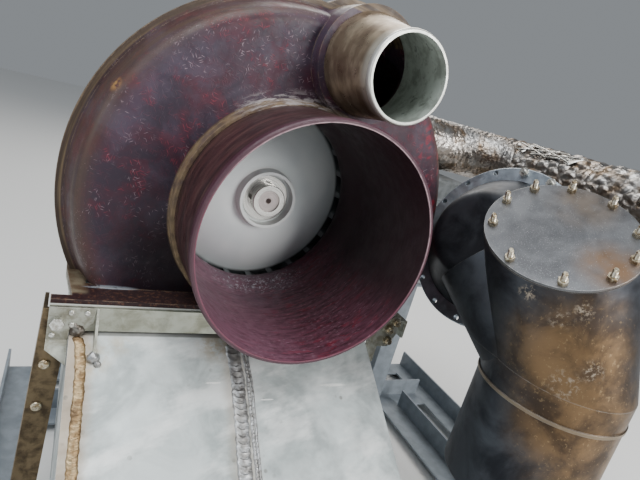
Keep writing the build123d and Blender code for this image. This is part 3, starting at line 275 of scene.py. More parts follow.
    def wear(self, radius, size, levels=(0.3, 0.6)):
        return self.times(self.edges(radius), self.patches(size, levels))

    def colour(self, value):
        self.tone = value
        self.plug(self.shader.inputs["Base Color"], value)

    def lay(self, tone, *masks):
        # a tone laid over the colour so far
        self.colour(self.over(self.tone, tone, *masks))

    def gloss(self, value):
        self.plug(self.shader.inputs["Roughness"], value)

    def cloudyGloss(self, size, ends, detail=4.0, rough=0.55):
        self.gloss(self.patches(size, (0.3, 0.7), ends, detail, rough))

    def relief(self, height, depth, strength):
        inputs = {"Strength": strength, "Distance": depth, "Height": height}
        if self.edgeNormal:
            inputs["Normal"] = self.edgeNormal
        self.edgeNormal = self.node("Bump", inputs).outputs["Normal"]
        self.plug(self.shader.inputs["Normal"], self.edgeNormal)


def dress(finish, *names):
    for name in names:
        piece = nodes[name]
        if not piece.material_slots:
            piece.data.materials.append(finish.material)
        for slot in piece.material_slots:
            slot.material = finish.material


def addPiece(name, form, finish, body="frame", smooth=True):
    mesh = bpy.data.meshes.new(name)
    mesh.from_pydata([tuple(p) for p in form.points], [], form.faces)
    work = bmesh.new()
    work.from_mesh(mesh)
    bmesh.ops.recalc_face_normals(work, faces=work.faces)
    work.to_mesh(mesh)
    work.free()
    for polygon in mesh.polygons:
        polygon.use_smooth = smooth
    mesh.materials.append(finish.material)
    piece = bpy.data.objects.new(name, mesh)
    bpy.context.scene.collection.objects.link(piece)
    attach(piece, body)
    return piece


def circle(count):
    return [2 * math.pi * j / count for j in range(count)]


class Form:
    # points and faces gathered for one piece

    def __init__(self):
        self.points = []
        self.faces = []

    def loft(self, rings, loop=False):
        # skin over closed rings with the same count of points, with flat ends unless it loops
        start = len(self.points)
        count = len(rings[0])
        for ring in rings:
            self.points.extend(ring)
        last = len(rings) if loop else len(rings) - 1
        for i in range(last):
            a = start + i * count
            b = start + ((i + 1) % len(rings)) * count
            for j in range(count):
                k = (j + 1) % count
                self.faces.append((a + j, a + k, b + k, b + j))
        if not loop:
            self.faces.append(tuple(range(start, start + count)))
            end = start + last * count
            self.faces.append(tuple(range(end, end + count)))


# chopped-fibre moulding of the scroll and the mouth
mouldingLook = {
    "ground": (0.030, 0.020, 0.033),
    "warmGround": (0.052, 0.018, 0.030),
    "violet": (0.080, 0.062, 0.092),
    # tone of the painted shadow beside and below the mouth
    "shade": (0.006, 0.004, 0.006),
    "redFleck": (0.17, 0.028, 0.046),
    "paleFleck": (0.30, 0.225, 0.26),
    "redPatch": (0.11, 0.012, 0.024),
    "scuff": (0.50, 0.46, 0.46),
    "worn": (0.30, 0.22, 0.15),
    "rimBrown": (0.085, 0.055, 0.034),
    "rimDark": (0.055, 0.038, 0.026),
    "rimGold": (0.21, 0.15, 0.088),
    "footTan": (0.17, 0.14, 0.095),
    "footDark": (0.024, 0.011, 0.012),
    "footSpeck": (0.080, 0.036, 0.024),
    # tone of the painted highlight where the face meets the foot
    "footHighlight": (0.30, 0.33, 0.37),
    # tone of the painted highlight along the foot of the neck
    "stripHighlight": (0.62, 0.64, 0.61),
    "crimson": (0.22, 0.012, 0.032),
    "goldSpot": (0.30, 0.165, 0.06),
    "roughness": (0.36, 0.56),
    # clouds: size, levels, ends, detail, roughness, warp
    "clouds": (0.030, (0.38, 0.68), fullRange, 5.0, 0.62, 0.6),
    # length, width and share of the fibres
    "redFibres": (0.0085, 0.0013, 0.30),
    "paleFibres": (0.0065, 0.0008, 0.12),
    # distances from the fan's axis, where one tone gives way to the next
    "shoulderFrom": (160, 181),
    "rimFrom": (187.2, 188.5),
    "collarWithin": (107.5, 105.8),
    "rubWithin": (117, 106),
    # heights, depths and sideways places of the foot's plate and strip
    "plateBelow": (-83.5, -84.8),
    "tanLeftOf": (-156, -164),
    "tanBehind": (74, 80),
    "stripBefore": (66.8, 66.0),
    "stripBelow": (-88.5, -89.1),
    "crimsonRightOf": (112, 138),
    # spots: centre, size, softness, and how much each side counts
    # the shade spot places the painted shadow
    "paintedShadowSpot": ((-88, 90, -55), 80, 0.8, (1, 0, 1)),
    "bossSpot": ((38, 0, 148), 62, 0.15, (1, 0, 1)),
    "footHighlightSpot": ((-140, 90, -85), 26, 0.5, (1, 9, 9)),
    "goldAt": ((-160, 98, 82), 8, 0.9),
    "rubSpot": ((-25, 80, 106), 62, 0.7),
}
fleckTurns = [(0, 15, 0), (12, 62, 0), (0, 105, 14), (8, 150, 0)]


def scrollFinish():
    look = mouldingLook
    finish = Finish("scrollMoulding", 0.0009, coat=(0.03, 0.3), specular=0.25)
    finish.colour(finish.mottled(look["ground"], look["warmGround"], *look["clouds"]))
    finish.lay(look["violet"], finish.patches(0.055, (0.42, 0.66), (0.0, 0.55), rough=0.6, warp=0.8))
    clumps = finish.patches(0.024, (0.50, 0.64), detail=3.0, rough=0.6)
    finish.lay(look["redPatch"], clumps, 0.30)
    red = finish.flecks(*look["redFibres"], fleckTurns)
    finish.lay(look["redFleck"], red, finish.ramp(clumps, 0.0, 1.0, 0.12, 0.75))
    pale = finish.flecks(*look["paleFibres"], fleckTurns)
    patchy = finish.patches(0.032, (0.47, 0.62), (0.06, 0.75), detail=3.0, rough=0.6)
    finish.lay(look["paleFleck"], pale, patchy)
    # painted shadow, dark on the face beside and below the mouth
    shade = finish.near(*look["paintedShadowSpot"])
    finish.lay(look["shade"], shade, 0.9)
    # crackled crimson where the drum's right side meets the mouth
    crackle = finish.cracks(0.009, (0.05, 0.22), scale=(1, 0.7, 0.6))
    crimson = finish.times(crackle, finish.patches(0.016, (0.42, 0.56)))
    finish.lay(look["crimson"], crimson, finish.past("X", look["crimsonRightOf"]), 0.9)
    # the drum's shoulder browns towards the parting rim
    clear = finish.reckon("SUBTRACT", 1.0, finish.near(*look["bossSpot"]))
    shoulder = finish.times(finish.ring(look["shoulderFrom"]), clear)
    streaky = finish.streaks((0.09, 0.006, 0.006), 4.0, 0.6, finish.aroundFan())
    streaky = finish.ramp(streaky, 0.3, 0.7, 0.35, 1.0)
    finish.lay(look["rimBrown"], shoulder, streaky, 0.7)
    rimTone = finish.blend(finish.ramp(streaky, 0.45, 0.95), look["rimDark"], look["rimGold"])
    finish.lay(rimTone, finish.ring(look["rimFrom"]), 0.9)
    # the foot's plate is tan outside the drum, dark and speckled in front of it
    plate = finish.mottled(look["footDark"], look["footSpeck"], 0.0035, (0.52, 0.62), rough=0.7)
    tan = finish.mottled(look["footTan"], look["rimBrown"], 0.016, (0.38, 0.62))
    plate = finish.over(plate, tan, finish.past("X", look["tanLeftOf"]), finish.past("Y", look["tanBehind"]))
    finish.lay(plate, finish.past("Z", look["plateBelow"]))
    # painted highlight, a pale line along the foot of the neck above the strip
    seam = finish.times(finish.past("Y", look["stripBefore"]), finish.past("Z", look["stripBelow"]))
    finish.lay(look["stripHighlight"], seam, 0.9)
    # painted highlight, a broken pale line along the edge where the face meets the foot
    line = finish.times(finish.near(*look["footHighlightSpot"]), finish.patches(0.006, (0.32, 0.52)))
    finish.lay(look["footHighlight"], line, 0.9)
    finish.lay(look["goldSpot"], finish.near(*look["goldAt"]), finish.patches(0.004, (0.35, 0.55)))
    # collar round the mouth, golden brown and rubbed
    collar = finish.patches(0.012, (0.3, 0.65), (0.35, 0.95))
    finish.lay(look["rimGold"], finish.ring(look["collarWithin"]), collar)
    upper = finish.times(finish.near(*look["rubSpot"]), finish.ring(look["rubWithin"]))
    rubbed = finish.streaks((0.012, 0.004, 0.002), 5.0, 0.7, finish.aroundFan())
    finish.lay(look["scuff"], upper, finish.ramp(rubbed, 0.46, 0.60), 0.8)
    finish.lay(look["worn"], finish.wear(0.0016, 0.006, (0.35, 0.6)), 0.7)
    gloss = finish.patches(0.012, (0.3, 0.7), look["roughness"])
    finish.gloss(finish.add(gloss, finish.times(shade, 0.4), clamp=True))
    finish.relief(finish.add(finish.cloud(0.007, 5.0, 0.6), finish.times(red, 0.3)), 0.0005, 0.35)
    return finish


mouthLook = {
    "outside": (0.060, 0.024, 0.024),
    "outsideDark": (0.022, 0.009, 0.011),
    "hoop": (0.20, 0.12, 0.09),
    "lip": (0.062, 0.021, 0.035),
    # tones of the painted highlight on the lip's inner corner
    "lipHighlightHigh": (0.40, 0.27, 0.30),
    "lipHighlightLow": (0.15, 0.040, 0.065),
    "inside": (0.115, 0.038, 0.060),
    "insideDark": (0.050, 0.014, 0.024),
    # tones of the bore's painted light and painted shade
    "insidePaintedLight": (0.19, 0.090, 0.130),
    "insideShade": (0.014, 0.005, 0.007),
    "crimson": (0.18, 0.010, 0.028),
    "darkChip": (0.032, 0.008, 0.014),
    "paleChip": (0.36, 0.24, 0.30),
    "film": (0.11, 0.10, 0.13),
    "dust": (0.42, 0.43, 0.47),
    # length, width and share of the chips, and their turns
    "darkChips": (0.008, 0.0020, 0.30, [(0, 0, 0), (0, 0, 12)]),
    "paleChips": (0.006, 0.0010, 0.14, [(0, 0, 5), (0, 0, -9)]),
    "wallBeyond": (100.4, 100.8),
    "lipBefore": (7.8, 7.0),
    "cornerWithin": (101.0, 100.5),
    "cornerBefore": (1.2, 0.7),
    "dustSpot": ((8, 146, -94), 68, 0.6),
    "dustBehind": (122, 138),
    "dustBefore": (160, 150),
    # metres towards the upper right, where the bore's painted light ends and its painted shade begins
    "paintedLightRamp": (-0.045, -0.13),
    "paintedShadeRamp": (0.0, 0.075),
    "rise": 0.9,
}


def mouthFinish():
    look = mouthLook
    finish = Finish("mouthMoulding", 0.0007, coat=(0.08, 0.28), specular=0.4)
    around = finish.aroundFan()
    streak = finish.streaks((0.016, 0.0035, 0.01), 5.0, 0.65, around)
    finish.colour(finish.blend(finish.ramp(streak, 0.36, 0.62), look["insideDark"], look["inside"]))
    blotch = finish.streaks((0.020, 0.006, 0.01), 5.0, 0.7, around, warp=0.8)
    finish.lay(look["crimson"], finish.ramp(blotch, 0.54, 0.64), 0.6)
    # painted light low on the bore's left and painted shade up its right
    across = finish.fromCentre("X")
    upward = finish.fromCentre("Z")
    toRight = finish.add(across, finish.times(upward, look["rise"]))
    paintedLight = finish.times(finish.ramp(toRight, *look["paintedLightRamp"]), finish.ramp(streak, 0.3, 0.6, 0.4, 0.8))
    finish.lay(look["insidePaintedLight"], paintedLight)
    finish.lay(look["darkChip"], finish.flecks(*look["darkChips"], around), 0.6)
    finish.lay(look["paleChip"], finish.flecks(*look["paleChips"], around), 0.4)
    # painted shade up the bore's right
    finish.lay(look["insideShade"], finish.ramp(toRight, *look["paintedShadeRamp"], 0.0, 0.92))
    # pale dust gathered on the throat's foot
    floor = finish.near(*look["dustSpot"])
    finish.lay(look["film"], finish.patches(0.02, (0.35, 0.6), (0.1, 0.5)), floor, 0.6)
    grains = finish.patches(0.0032, (0.52, 0.64), rough=0.75)
    band = finish.times(finish.past("Y", look["dustBehind"]), finish.past("Y", look["dustBefore"]))
    finish.lay(look["dust"], grains, floor, band, 0.75)
    inside = finish.tone
    long = finish.streaks((0.05, 0.007, 0.02), 4.0, 0.6, around)
    finish.colour(finish.blend(finish.ramp(long, 0.35, 0.65), look["outsideDark"], look["outside"]))
    hoops = finish.streaks((0.03, 0.0012, 0.01), 3.0, 0.6, around)
    finish.lay(look["hoop"], finish.ramp(hoops, 0.58, 0.70), 0.35)
    wall = finish.ring(look["wallBeyond"])
    finish.colour(finish.blend(wall, inside, finish.tone))
    finish.lay(look["lip"], finish.past("Y", look["lipBefore"]), wall, 0.85)
    # painted highlight along the lip's inner corner, pale above and red below
    corner = finish.times(finish.ring(look["cornerWithin"]), finish.past("Y", look["cornerBefore"]))
    rubbed = finish.patches(0.006, (0.28, 0.55), (0.45, 1.0))
    high = finish.ramp(finish.add(upward, finish.times(across, 0.4)), -0.02, 0.06)
    finish.lay(finish.blend(high, look["lipHighlightLow"], look["lipHighlightHigh"]), corner, rubbed, 0.9)
    finish.cloudyGloss(0.012, (0.34, 0.54))
    finish.relief(finish.add(finish.cloud(0.006, 5.0, 0.6), finish.times(streak, 0.8)), 0.0006, 0.4)
    return finish


# sheet metal and machined parts: base, clouding and its size, roughness, share of grain, pieces
metalLooks = {
    "bearingSteel": (
        (0.72, 0.73, 0.75), (0.60, 0.61, 0.63), 0.02, (0.1, 0.2), 0.02,
        "bearing_inner_rings bearing_outer_rings bearing_balls bearing_circlip",
    ),
    "cartridgeAlloy": ((0.60, 0.61, 0.62), (0.48, 0.49, 0.5), 0.02, (0.3, 0.45), 0.08, "bearing_cartridge"),
    "flangeAlloy": ((0.40, 0.41, 0.35), (0.27, 0.27, 0.21), 0.016, (0.32, 0.5), 0.2, "duct_flange"),
    "bracketAlloy": (
        (0.42, 0.43, 0.38), (0.24, 0.23, 0.18), 0.010, (0.34, 0.55), 0.2,
        "left_bracket left_gusset right_bracket right_strut",
    ),
    "fastenerPlate": (
        (0.66, 0.60, 0.46), (0.30, 0.21, 0.11), 0.003, (0.22, 0.42), 0.1,
        "rim_screws cartridge_screws neck_bolts leg_bolts right_bolts cover_nuts gearbox_screws "
        "clamp_bolt",
    ),
    "rivetSteel": (
        (0.72, 0.73, 0.70), (0.40, 0.38, 0.33), 0.003, (0.22, 0.4), 0.1,
        "bracket_rivets bracket_bolt ring_bolts",
    ),
    "legBronze": ((0.20, 0.15, 0.09), (0.08, 0.06, 0.04), 0.012, (0.35, 0.6), 0.2, "front_left_leg"),
    "ringAlloy": ((0.44, 0.50, 0.57), (0.26, 0.30, 0.35), 0.02, (0.34, 0.5), 0.12, "ring_flange"),
    "coreSteel": ((0.12, 0.115, 0.11), (0.08, 0.06, 0.045), 0.03, (0.35, 0.6), 0.1, "compressor_casing"),
    "gearboxAlloy": (
        (0.34, 0.36, 0.37), (0.22, 0.23, 0.23), 0.02, (0.5, 0.7), 0.02,
        "gearbox_housing gearbox_cover port_block",
    ),
    "pipeSteel": ((0.45, 0.42, 0.38), (0.3, 0.26, 0.2), 0.02, (0.25, 0.4), 0.1, "bleed_pipe"),
    "clampSteel": ((0.60, 0.60, 0.58), (0.4, 0.38, 0.34), 0.01, (0.2, 0.35), 0.15, "pipe_clamp"),
    "shaftSteel": (
        (0.55, 0.53, 0.51), (0.46, 0.44, 0.43), 0.02, (0.24, 0.34), 0.04,
        "front_sleeve bearing_spacer",
    ),
}
metalWear = {
    "grainScale": (40, 1600, 1600),
    "grainLift": 1.5,
    "edgeLift": 1.9,
    "edgeAdded": 0.06,
    "share": 0.5,
}


def lighter(tone, factor, added=0.0):
    return tuple(min(1.0, c * factor + added) for c in tone)


def metalFinish(name):
    base, shade, size, roughness, grainShare = metalLooks[name][:-1]
    wear = metalWear
    finish = Finish(name, 0.0005, metallic=1.0)
    finish.colour(finish.mottled(base, shade, size, (0.38, 0.66), detail=6.0, rough=0.62, warp=0.4))
    grain = finish.cloud(1.0, 3.0, 0.5, finish.turned(scale=wear["grainScale"]))
    finish.lay(lighter(base, wear["grainLift"]), finish.ramp(grain, 0.5, 0.8, 0.0, grainShare))
    bright = lighter(base, wear["edgeLift"], wear["edgeAdded"])
    finish.lay(bright, finish.wear(0.001, 0.005), wear["share"])
    finish.cloudyGloss(size * 0.5, roughness, 5.0, 0.6)
    finish.relief(finish.add(finish.cloud(0.004, 5.0), finish.times(grain, 0.4)), 0.00012, 0.6)
    return finish


# paint, rubber and gasket: tone, roughness and how much it is speckled
plainLooks = {
    "sealRubber": ((0.03, 0.03, 0.03), 0.6, 0.3),
    "gasketSheet": ((0.05, 0.045, 0.042), 0.7, 0.3),
    "standPaint": ((0.20, 0.23, 0.26), 0.45, 0.12),
}


def plainFinish(name):
    tone, roughness, speckle = plainLooks[name]
    finish = Finish(name, 0.0006, roughness=roughness)
    darkest, palest = (lighter(tone, 1 + change) for change in (-speckle, speckle))
    finish.colour(finish.mottled(darkest, palest, 0.015, (0.35, 0.65), detail=5.0))
    finish.relief(finish.cloud(0.003), 0.0002, 0.5)
    return finish


# the wheel's smooth pale cone, with faint turning marks; painted shade darkens it outside the throat
wheelLook = {
    "pale": (0.84, 0.89, 0.89),
    "grey": (0.76, 0.82, 0.83),
    "boss": (0.80, 0.80, 0.78),
    # tone of the painted shade outside the throat
    "throatShade": (0.06, 0.07, 0.072),
    "bossTo": (32.5, 33.5),
    "throatShadeFrom": (92.5, 98.5),
    "roughness": 0.5,
    "metallic": 0.05,
}


def wheelFinish():
    look = wheelLook
    finish = Finish("wheelAlloy", 0.0005, metallic=look["metallic"], roughness=look["roughness"])
    marks = finish.streaks((0.5, 0.001, 0.0012), 2.0, 0.5, finish.aroundFan())
    finish.colour(finish.mottled(look["pale"], look["grey"], 0.06, (0.4, 0.6), detail=2.0))
    finish.lay(look["boss"], finish.ring(look["bossTo"], (0.45, 0.0)))
    # painted shade outside the throat
    finish.lay(look["throatShade"], finish.ring(look["throatShadeFrom"]))
    finish.relief(marks, 0.00004, 0.5)
    return finish


# clean lathe-turned steel with rings about the fan axis: base, rings, roughness
turnedLooks = {
    "nutSteel": ((0.70, 0.69, 0.66), (0.44, 0.43, 0.41), 0.25),
    "shaftEndSteel": ((0.52, 0.46, 0.45), (0.44, 0.39, 0.38), 0.4),
}


def turnedSteel(name):
    base, rings, roughness = turnedLooks[name]
    finish = Finish(name, 0.0004, metallic=0.9, roughness=roughness)
    marks = finish.streaks((0.4, 0.0009, 0.0006), 2.0, 0.5, finish.aroundFan())
    finish.colour(finish.blend(finish.ramp(marks, 0.35, 0.65), rings, base))
    finish.relief(marks, 0.00005, 0.6)
    return finish


# the duct's upper sheet slopes down from the strip: depth and height of its top edge, rise and run
slopeFoot = (65.0, -111.0)
slopeDrop = 94.0
slopeRun = 141.0
slopeRise = slopeDrop / slopeRun
slopeNormal = Vector((0.0, -slopeDrop, slopeRun)).normalized()

# bright sheet of the discharge duct, with weld tint, stains, pits and scratches
ductLook = {
    "sheet": (0.56, 0.61, 0.61),
    "dull": (0.33, 0.37, 0.37),
    "cloud": (0.80, 0.82, 0.81),
    "tint": (0.30, 0.19, 0.09),
    "stain": (0.42, 0.30, 0.13),
    "pit": (0.14, 0.13, 0.11),
    "scratch": (0.95, 0.95, 0.93),
    "dirt": (0.06, 0.055, 0.045),
    "worn": (0.9, 0.9, 0.88),
    "clouds": (0.055, (0.38, 0.66), fullRange, 5.0, 0.6, 0.5),
    "metallic": 0.45,
    "sheetAbove": (0.004, 0.002),
    "ragged": -0.008,
    # weld tint: sideways place, how far it reaches, share
    "tints": [(-163.0, 14.0, 0.6), (-34.0, 13.0, 0.35)],
    "scratches": [((-56.5, 25.5, -137.3), 9.0), ((61.0, 21.5, -140.0), 15.0), ((-8.0, 12.0, -146.3), 7.0)],
    # place, size, share
    "stains": [((-51, 54, -118), 22.0, 0.6), ((-150, 44, -125), 20.0, 0.5), ((-132, 55, -118), 16.0, 0.35)],
    "jointSpot": ((0, 62, -112.5), 3.2, 0.5, (0, 1, 1)),
}


def ductFinish():
    look = ductLook
    finish = Finish("ductSteel", 0.0008, metallic=look["metallic"])
    finish.colour(finish.mottled(look["sheet"], look["dull"], *look["clouds"]))
    drift = finish.streaks((0.09, 0.035, 0.035), 5.0, 0.62, turn=(0, 0, 18))
    finish.lay(look["cloud"], finish.ramp(drift, 0.46, 0.66, 0.0, 0.75))
    # the weld tint keeps to the sloping sheet
    above = finish.reckon("SUBTRACT", finish.axis("Z"), finish.times(finish.axis("Y"), slopeRise))
    level = mouthCentre.z + slopeFoot[1] * mm - (mouthCentre.y + slopeFoot[0] * mm) * slopeRise
    onSheet = finish.ramp(above, *(level - gap for gap in look["sheetAbove"]))
    for x, side, share in look["tints"]:
        ragged = finish.times(finish.cloud(0.012), look["ragged"])
        ragged = finish.add(finish.reach((x, 0, 0), (1, 0, 0)), ragged)
        finish.lay(look["tint"], finish.ramp(ragged, mm, side * mm, share, 0.0), onSheet)
    for place, size, share in look["stains"]:
        ragged = finish.patches(0.007, (0.35, 0.6), detail=5.0, rough=0.7)
        finish.lay(look["stain"], finish.near(place, size, 0.9), ragged, share)
    pits = finish.flecks(0.0065, 0.0065, 0.16, [(0, 0, 0)])
    finish.lay(look["pit"], pits, finish.patches(0.03, (0.5, 0.62), detail=3.0), 0.6)
    for place, size in look["scratches"]:
        broken = finish.patches(0.004, (0.35, 0.5), detail=3.0)
        finish.lay(look["scratch"], finish.near(place, size, 0.25, (1, 9, 9)), broken, 0.8)
    # the joint under the strip is dark with dirt
    finish.lay(look["dirt"], finish.near(*look["jointSpot"]), 0.75)
    finish.lay(look["worn"], finish.wear(0.001, 0.005), 0.5)
    finish.cloudyGloss(0.02, (0.36, 0.6), 5.0, 0.6)
    finish.relief(finish.add(finish.cloud(0.02), finish.times(finish.cloud(0.003), 0.15)), 0.0008, 0.35)
    return finish


# brown satin outside of the spout, grey-green and stained inside, with a bright bead
spoutLook = {
    "outside": (0.40, 0.32, 0.23),
    "outsideDark": (0.20, 0.145, 0.10),
    "band": (0.60, 0.57, 0.50),
    "bead": (0.72, 0.72, 0.68),
    "inside": (0.50, 0.55, 0.50),
    "insideStain": (0.30, 0.33, 0.29),
    "speck": (0.14, 0.14, 0.12),
    "clouds": (0.014, (0.42, 0.64), fullRange, 5.0, 0.65),
    "specks": (0.004, 0.002, 0.2, [(0, 40, 0)]),
    "axis": (40.6, 0, 145.0),
    "bandBefore": (33.0, 25.5),
    "beadBefore": (24.5, 22.5),
}


def spoutFinish():
    look = spoutLook
    finish = Finish("spoutSteel", 0.0005)
    long = finish.ramp(finish.streaks((0.03, 0.012, 0.03), 4.0, 0.6), 0.35, 0.65)
    finish.colour(finish.blend(long, look["outside"], look["outsideDark"]))
    finish.lay(look["band"], finish.past("Y", look["bandBefore"]), 0.7)
    finish.lay(look["bead"], finish.past("Y", look["beadBefore"]), 0.9)
    inside = finish.mottled(look["inside"], look["insideStain"], *look["clouds"])
    inside = finish.over(inside, look["speck"], finish.flecks(*look["specks"]), 0.5)
    # the surfaces that face away from the spout's axis are its outside
    centre = fromMouth(*look["axis"])
    outward = finish.turned(scale=(1, 0, 1), shift=(-centre.x, 0, -centre.z))
    facing = finish.dot(outward, finish.node("NewGeometry").outputs["True Normal"])
    facing = finish.ramp(facing, -0.004, 0.004)
    finish.colour(finish.blend(facing, inside, finish.tone))
    finish.plug(finish.shader.inputs["Metallic"], finish.ramp(facing, 0.0, 1.0, 0.15, 0.75))
    finish.cloudyGloss(0.01, (0.26, 0.44), 5.0)
    finish.relief(finish.cloud(0.004), 0.00015, 0.5)
    return finish


# dark plenum sheet, blue-black above; bronze is laid low on its right as painted light, speckled there
plenumLook = {
    "gunmetal": (0.060, 0.066, 0.077),
    "black": (0.018, 0.020, 0.025),
    # bronze of the painted light on the lower right
    "bronze": (0.19, 0.118, 0.058),
    "darkBronze": (0.065, 0.042, 0.025),
    "gritty": (0.33, 0.235, 0.13),
    "pale": (0.38, 0.32, 0.25),
    # tone of the seam, partly its own and partly painted highlight
    "bead": (0.26, 0.21, 0.15),
    "worn": (0.30, 0.29, 0.27),
    "clouds": (0.045, (0.36, 0.66), fullRange, 5.0, 0.6, 0.4),
    "bronzeClouds": (0.03, (0.36, 0.66), fullRange, 5.0, 0.62, 0.3),
    "litBronzeSpots": [((186, -112, -36), 78.0), ((210, -128, -82), 78.0), ((232, -134, -130), 70.0)],
    "scuffs": [
        ((153, -69, 9), 10.0), ((181, -101, 11), 11.0), ((172, -92, -2), 12.0), ((184, -110, -51), 17.0),
        ((198, -118, -34), 12.0),
    ],
    "seamHighlightSpot": ((0, 0, -86.5), 1.8, 0.3, (0, 0, 1)),
}


def plenumFinish():
    look = plenumLook
    finish = Finish("plenumSteel", 0.0008, metallic=0.85)
    finish.colour(finish.mottled(look["gunmetal"], look["black"], *look["clouds"]))
    bronzeTone = finish.mottled(look["bronze"], look["darkBronze"], *look["bronzeClouds"])
    # painted light: bronze where light falls on the lower right
    litBronze = 0.0
    for place, size in look["litBronzeSpots"]:
        litBronze = finish.reckon("MAXIMUM", litBronze, finish.near(place, size, 0.7))
    finish.lay(bronzeTone, litBronze, 0.92)
    specks = finish.patches(0.0035, (0.58, 0.66), rough=0.7)
    finish.lay(look["gritty"], specks, litBronze, 0.45)
    for place, size in look["scuffs"]:
        rubbed = finish.patches(0.004, (0.50, 0.62), detail=5.0, rough=0.75)
        finish.lay(look["pale"], finish.near(place, size, 0.8), rubbed, 0.8)
    # a lighter band along the seam: the seam's own tone and its painted highlight
    finish.lay(look["bead"], finish.near(*look["seamHighlightSpot"]), 0.7)
    finish.lay(look["worn"], finish.wear(0.0014, 0.008), 0.55)
    finish.cloudyGloss(0.03, (0.38, 0.56), 5.0, 0.6)
    finish.relief(finish.add(finish.cloud(0.018), finish.times(finish.cloud(0.003), 0.2)), 0.0008, 0.3)
    return finish


# brushed oval cover, gunmetal with a warm corner
coverLook = {
    "plate": (0.17, 0.175, 0.185),
    "dull": (0.11, 0.112, 0.12),
    "brushed": (0.40, 0.41, 0.42),
    "warm": (0.21, 0.125, 0.07),
    "brown": (0.19, 0.155, 0.125),
    "mark": (0.50, 0.50, 0.50),
    "worn": (0.62, 0.62, 0.60),
    "clouds": (0.04, (0.36, 0.66), fullRange, 5.0, 0.6, 0.3),
    "warmSpot": ((204, -94, 48), 36, 0.8),
    "brownSpot": ((226, -34, 83), 40, 0.85),
    "brushTurn": (0, 0, 35),
    "marks": (0.012, 0.0009, 0.06, [(0, 0, 20), (0, 30, 75)]),
}


def coverFinish():
    look = coverLook
    finish = Finish("coverSteel", 0.0006, metallic=0.9)
    finish.colour(finish.mottled(look["plate"], look["dull"], *look["clouds"]))
    brush = finish.streaks((0.03, 0.0007, 0.0007), 4.0, 0.6, turn=look["brushTurn"])
    finish.lay(look["brushed"], finish.ramp(brush, 0.5, 0.75, 0.0, 0.35))
    for tone, spot, ends in (("brown", "brownSpot", (0.3, 0.8)), ("warm", "warmSpot", (0.4, 0.9))):
        finish.lay(look[tone], finish.near(*look[spot]), finish.patches(0.02, (0.3, 0.6), ends))
    finish.lay(look["mark"], finish.flecks(*look["marks"]), 0.5)
    finish.lay(look["worn"], finish.wear(0.001, 0.006, (0.25, 0.5)), 0.7)
    finish.cloudyGloss(0.015, (0.34, 0.50), 5.0)
    finish.relief(finish.add(brush, finish.times(finish.cloud(0.02, 3.0), 2.0)), 0.00025, 0.45)
    return finish


# right leg, old golden-brown paint flaked to dark and pale metal
legLook = {
    "gold": (0.36, 0.25, 0.11),
    "dark": (0.10, 0.065, 0.035),
    "flake": (0.62, 0.56, 0.42),
    "clouds": (0.018, (0.40, 0.62), fullRange, 5.0, 0.65, 0.8),
}


def legFinish():
    look = legLook
    finish = Finish("legGold", 0.0007, metallic=0.55)
    finish.colour(finish.mottled(look["gold"], look["dark"], *look["clouds"]))
    run = finish.ramp(finish.streaks((0.004, 0.004, 0.05), 4.0, 0.6), 0.55, 0.68)
    finish.lay(look["flake"], run, 0.5)
    flake = finish.cracks(0.011, (0.02, 0.05), (1.0, 0.0))
    finish.lay(look["flake"], flake, finish.patches(0.03, (0.5, 0.6), detail=3.0), 0.8)
    finish.lay(look["flake"], finish.wear(0.0012, 0.005), 0.8)
    finish.cloudyGloss(0.01, (0.35, 0.6))
    finish.relief(finish.cloud(0.006, 5.0, 0.65), 0.0006, 0.6)
    return finish


setUpStudio()
dress(scrollFinish(), "front_shell", "rear_shell")
dress(mouthFinish(), "inlet_mouth")
print("moulding dressed")

metals = {name: metalFinish(name) for name in metalLooks}
for name, finish in metals.items():
    dress(finish, *metalLooks[name][-1].split())
dress(wheelFinish(), "impeller")
dress(turnedSteel("nutSteel"), "impeller_nut", "impeller_washer")
dress(turnedSteel("shaftEndSteel"), "fan_shaft")
dress(ductFinish(), "discharge_duct")
dress(spoutFinish(), "take_off_spout")
dress(plenumFinish(), "plenum_body", "intake_duct")
dress(coverFinish(), "oval_cover")
dress(legFinish(), "right_leg")
dress(plainFinish("sealRubber"), "shaft_seal", "foot_pads")
dress(plainFinish("gasketSheet"), "cover_gasket")
dress(plainFinish("standPaint"), *(name for name in nodes if name.endswith(("_rail", "_post"))))
print("metals dressed")

# rippled weld beads down the duct's slope, the left one golden, the middle one silver
weldLook = {
    # sideways place and depth of the points that a bead goes through
    "leftPath": [
        (-163.4, 60.5), (-160.3, 53.4), (-158.6, 29.5), (-159.1, 5.7), (-159.6, -30.0), (-160.0, -72.0),
    ],
    "middlePath": [(-36.0, 56.0), (-34.0, 40.0), (-32.9, 27.3), (-33.6, 0.0), (-34.5, -35.0), (-35.0, -72.0)],
    # width, height, pitch of the ripples, seed, and place beside the path
    "leftBeads": [(8.0, 1.7, 4.1, 3.1, 0.0)],
    "middleBeads": [(12.6, 1.7, 5.6, 8.7, 0.0), (3.2, 1.3, 3.4, 12.3, 9.4), (2.4, 0.9, 4.6, 15.9, 12.6)],
    "steps": 420,
    "across": 12,
    "taperLength": 4.0,
    "taperFrom": 0.25,
    "bow": 0.85,
    "valley": 0.58,
    "fade": 1.4,
    "sink": -0.6,
    # wandering: pace along the bead, push on the ripples and to the side
    "wander": (0.11, 1.4, 0.7),
    # pace and share of the swelling width, and of the rough surface
    "swell": (0.35, 0.14),
    "grit": (0.9, 0.07),
}


def onSlope(x, depth, lift):
    return fromMouth(x, depth, slopeFoot[1] + (depth - slopeFoot[0]) * slopeRise) + slopeNormal * lift * mm


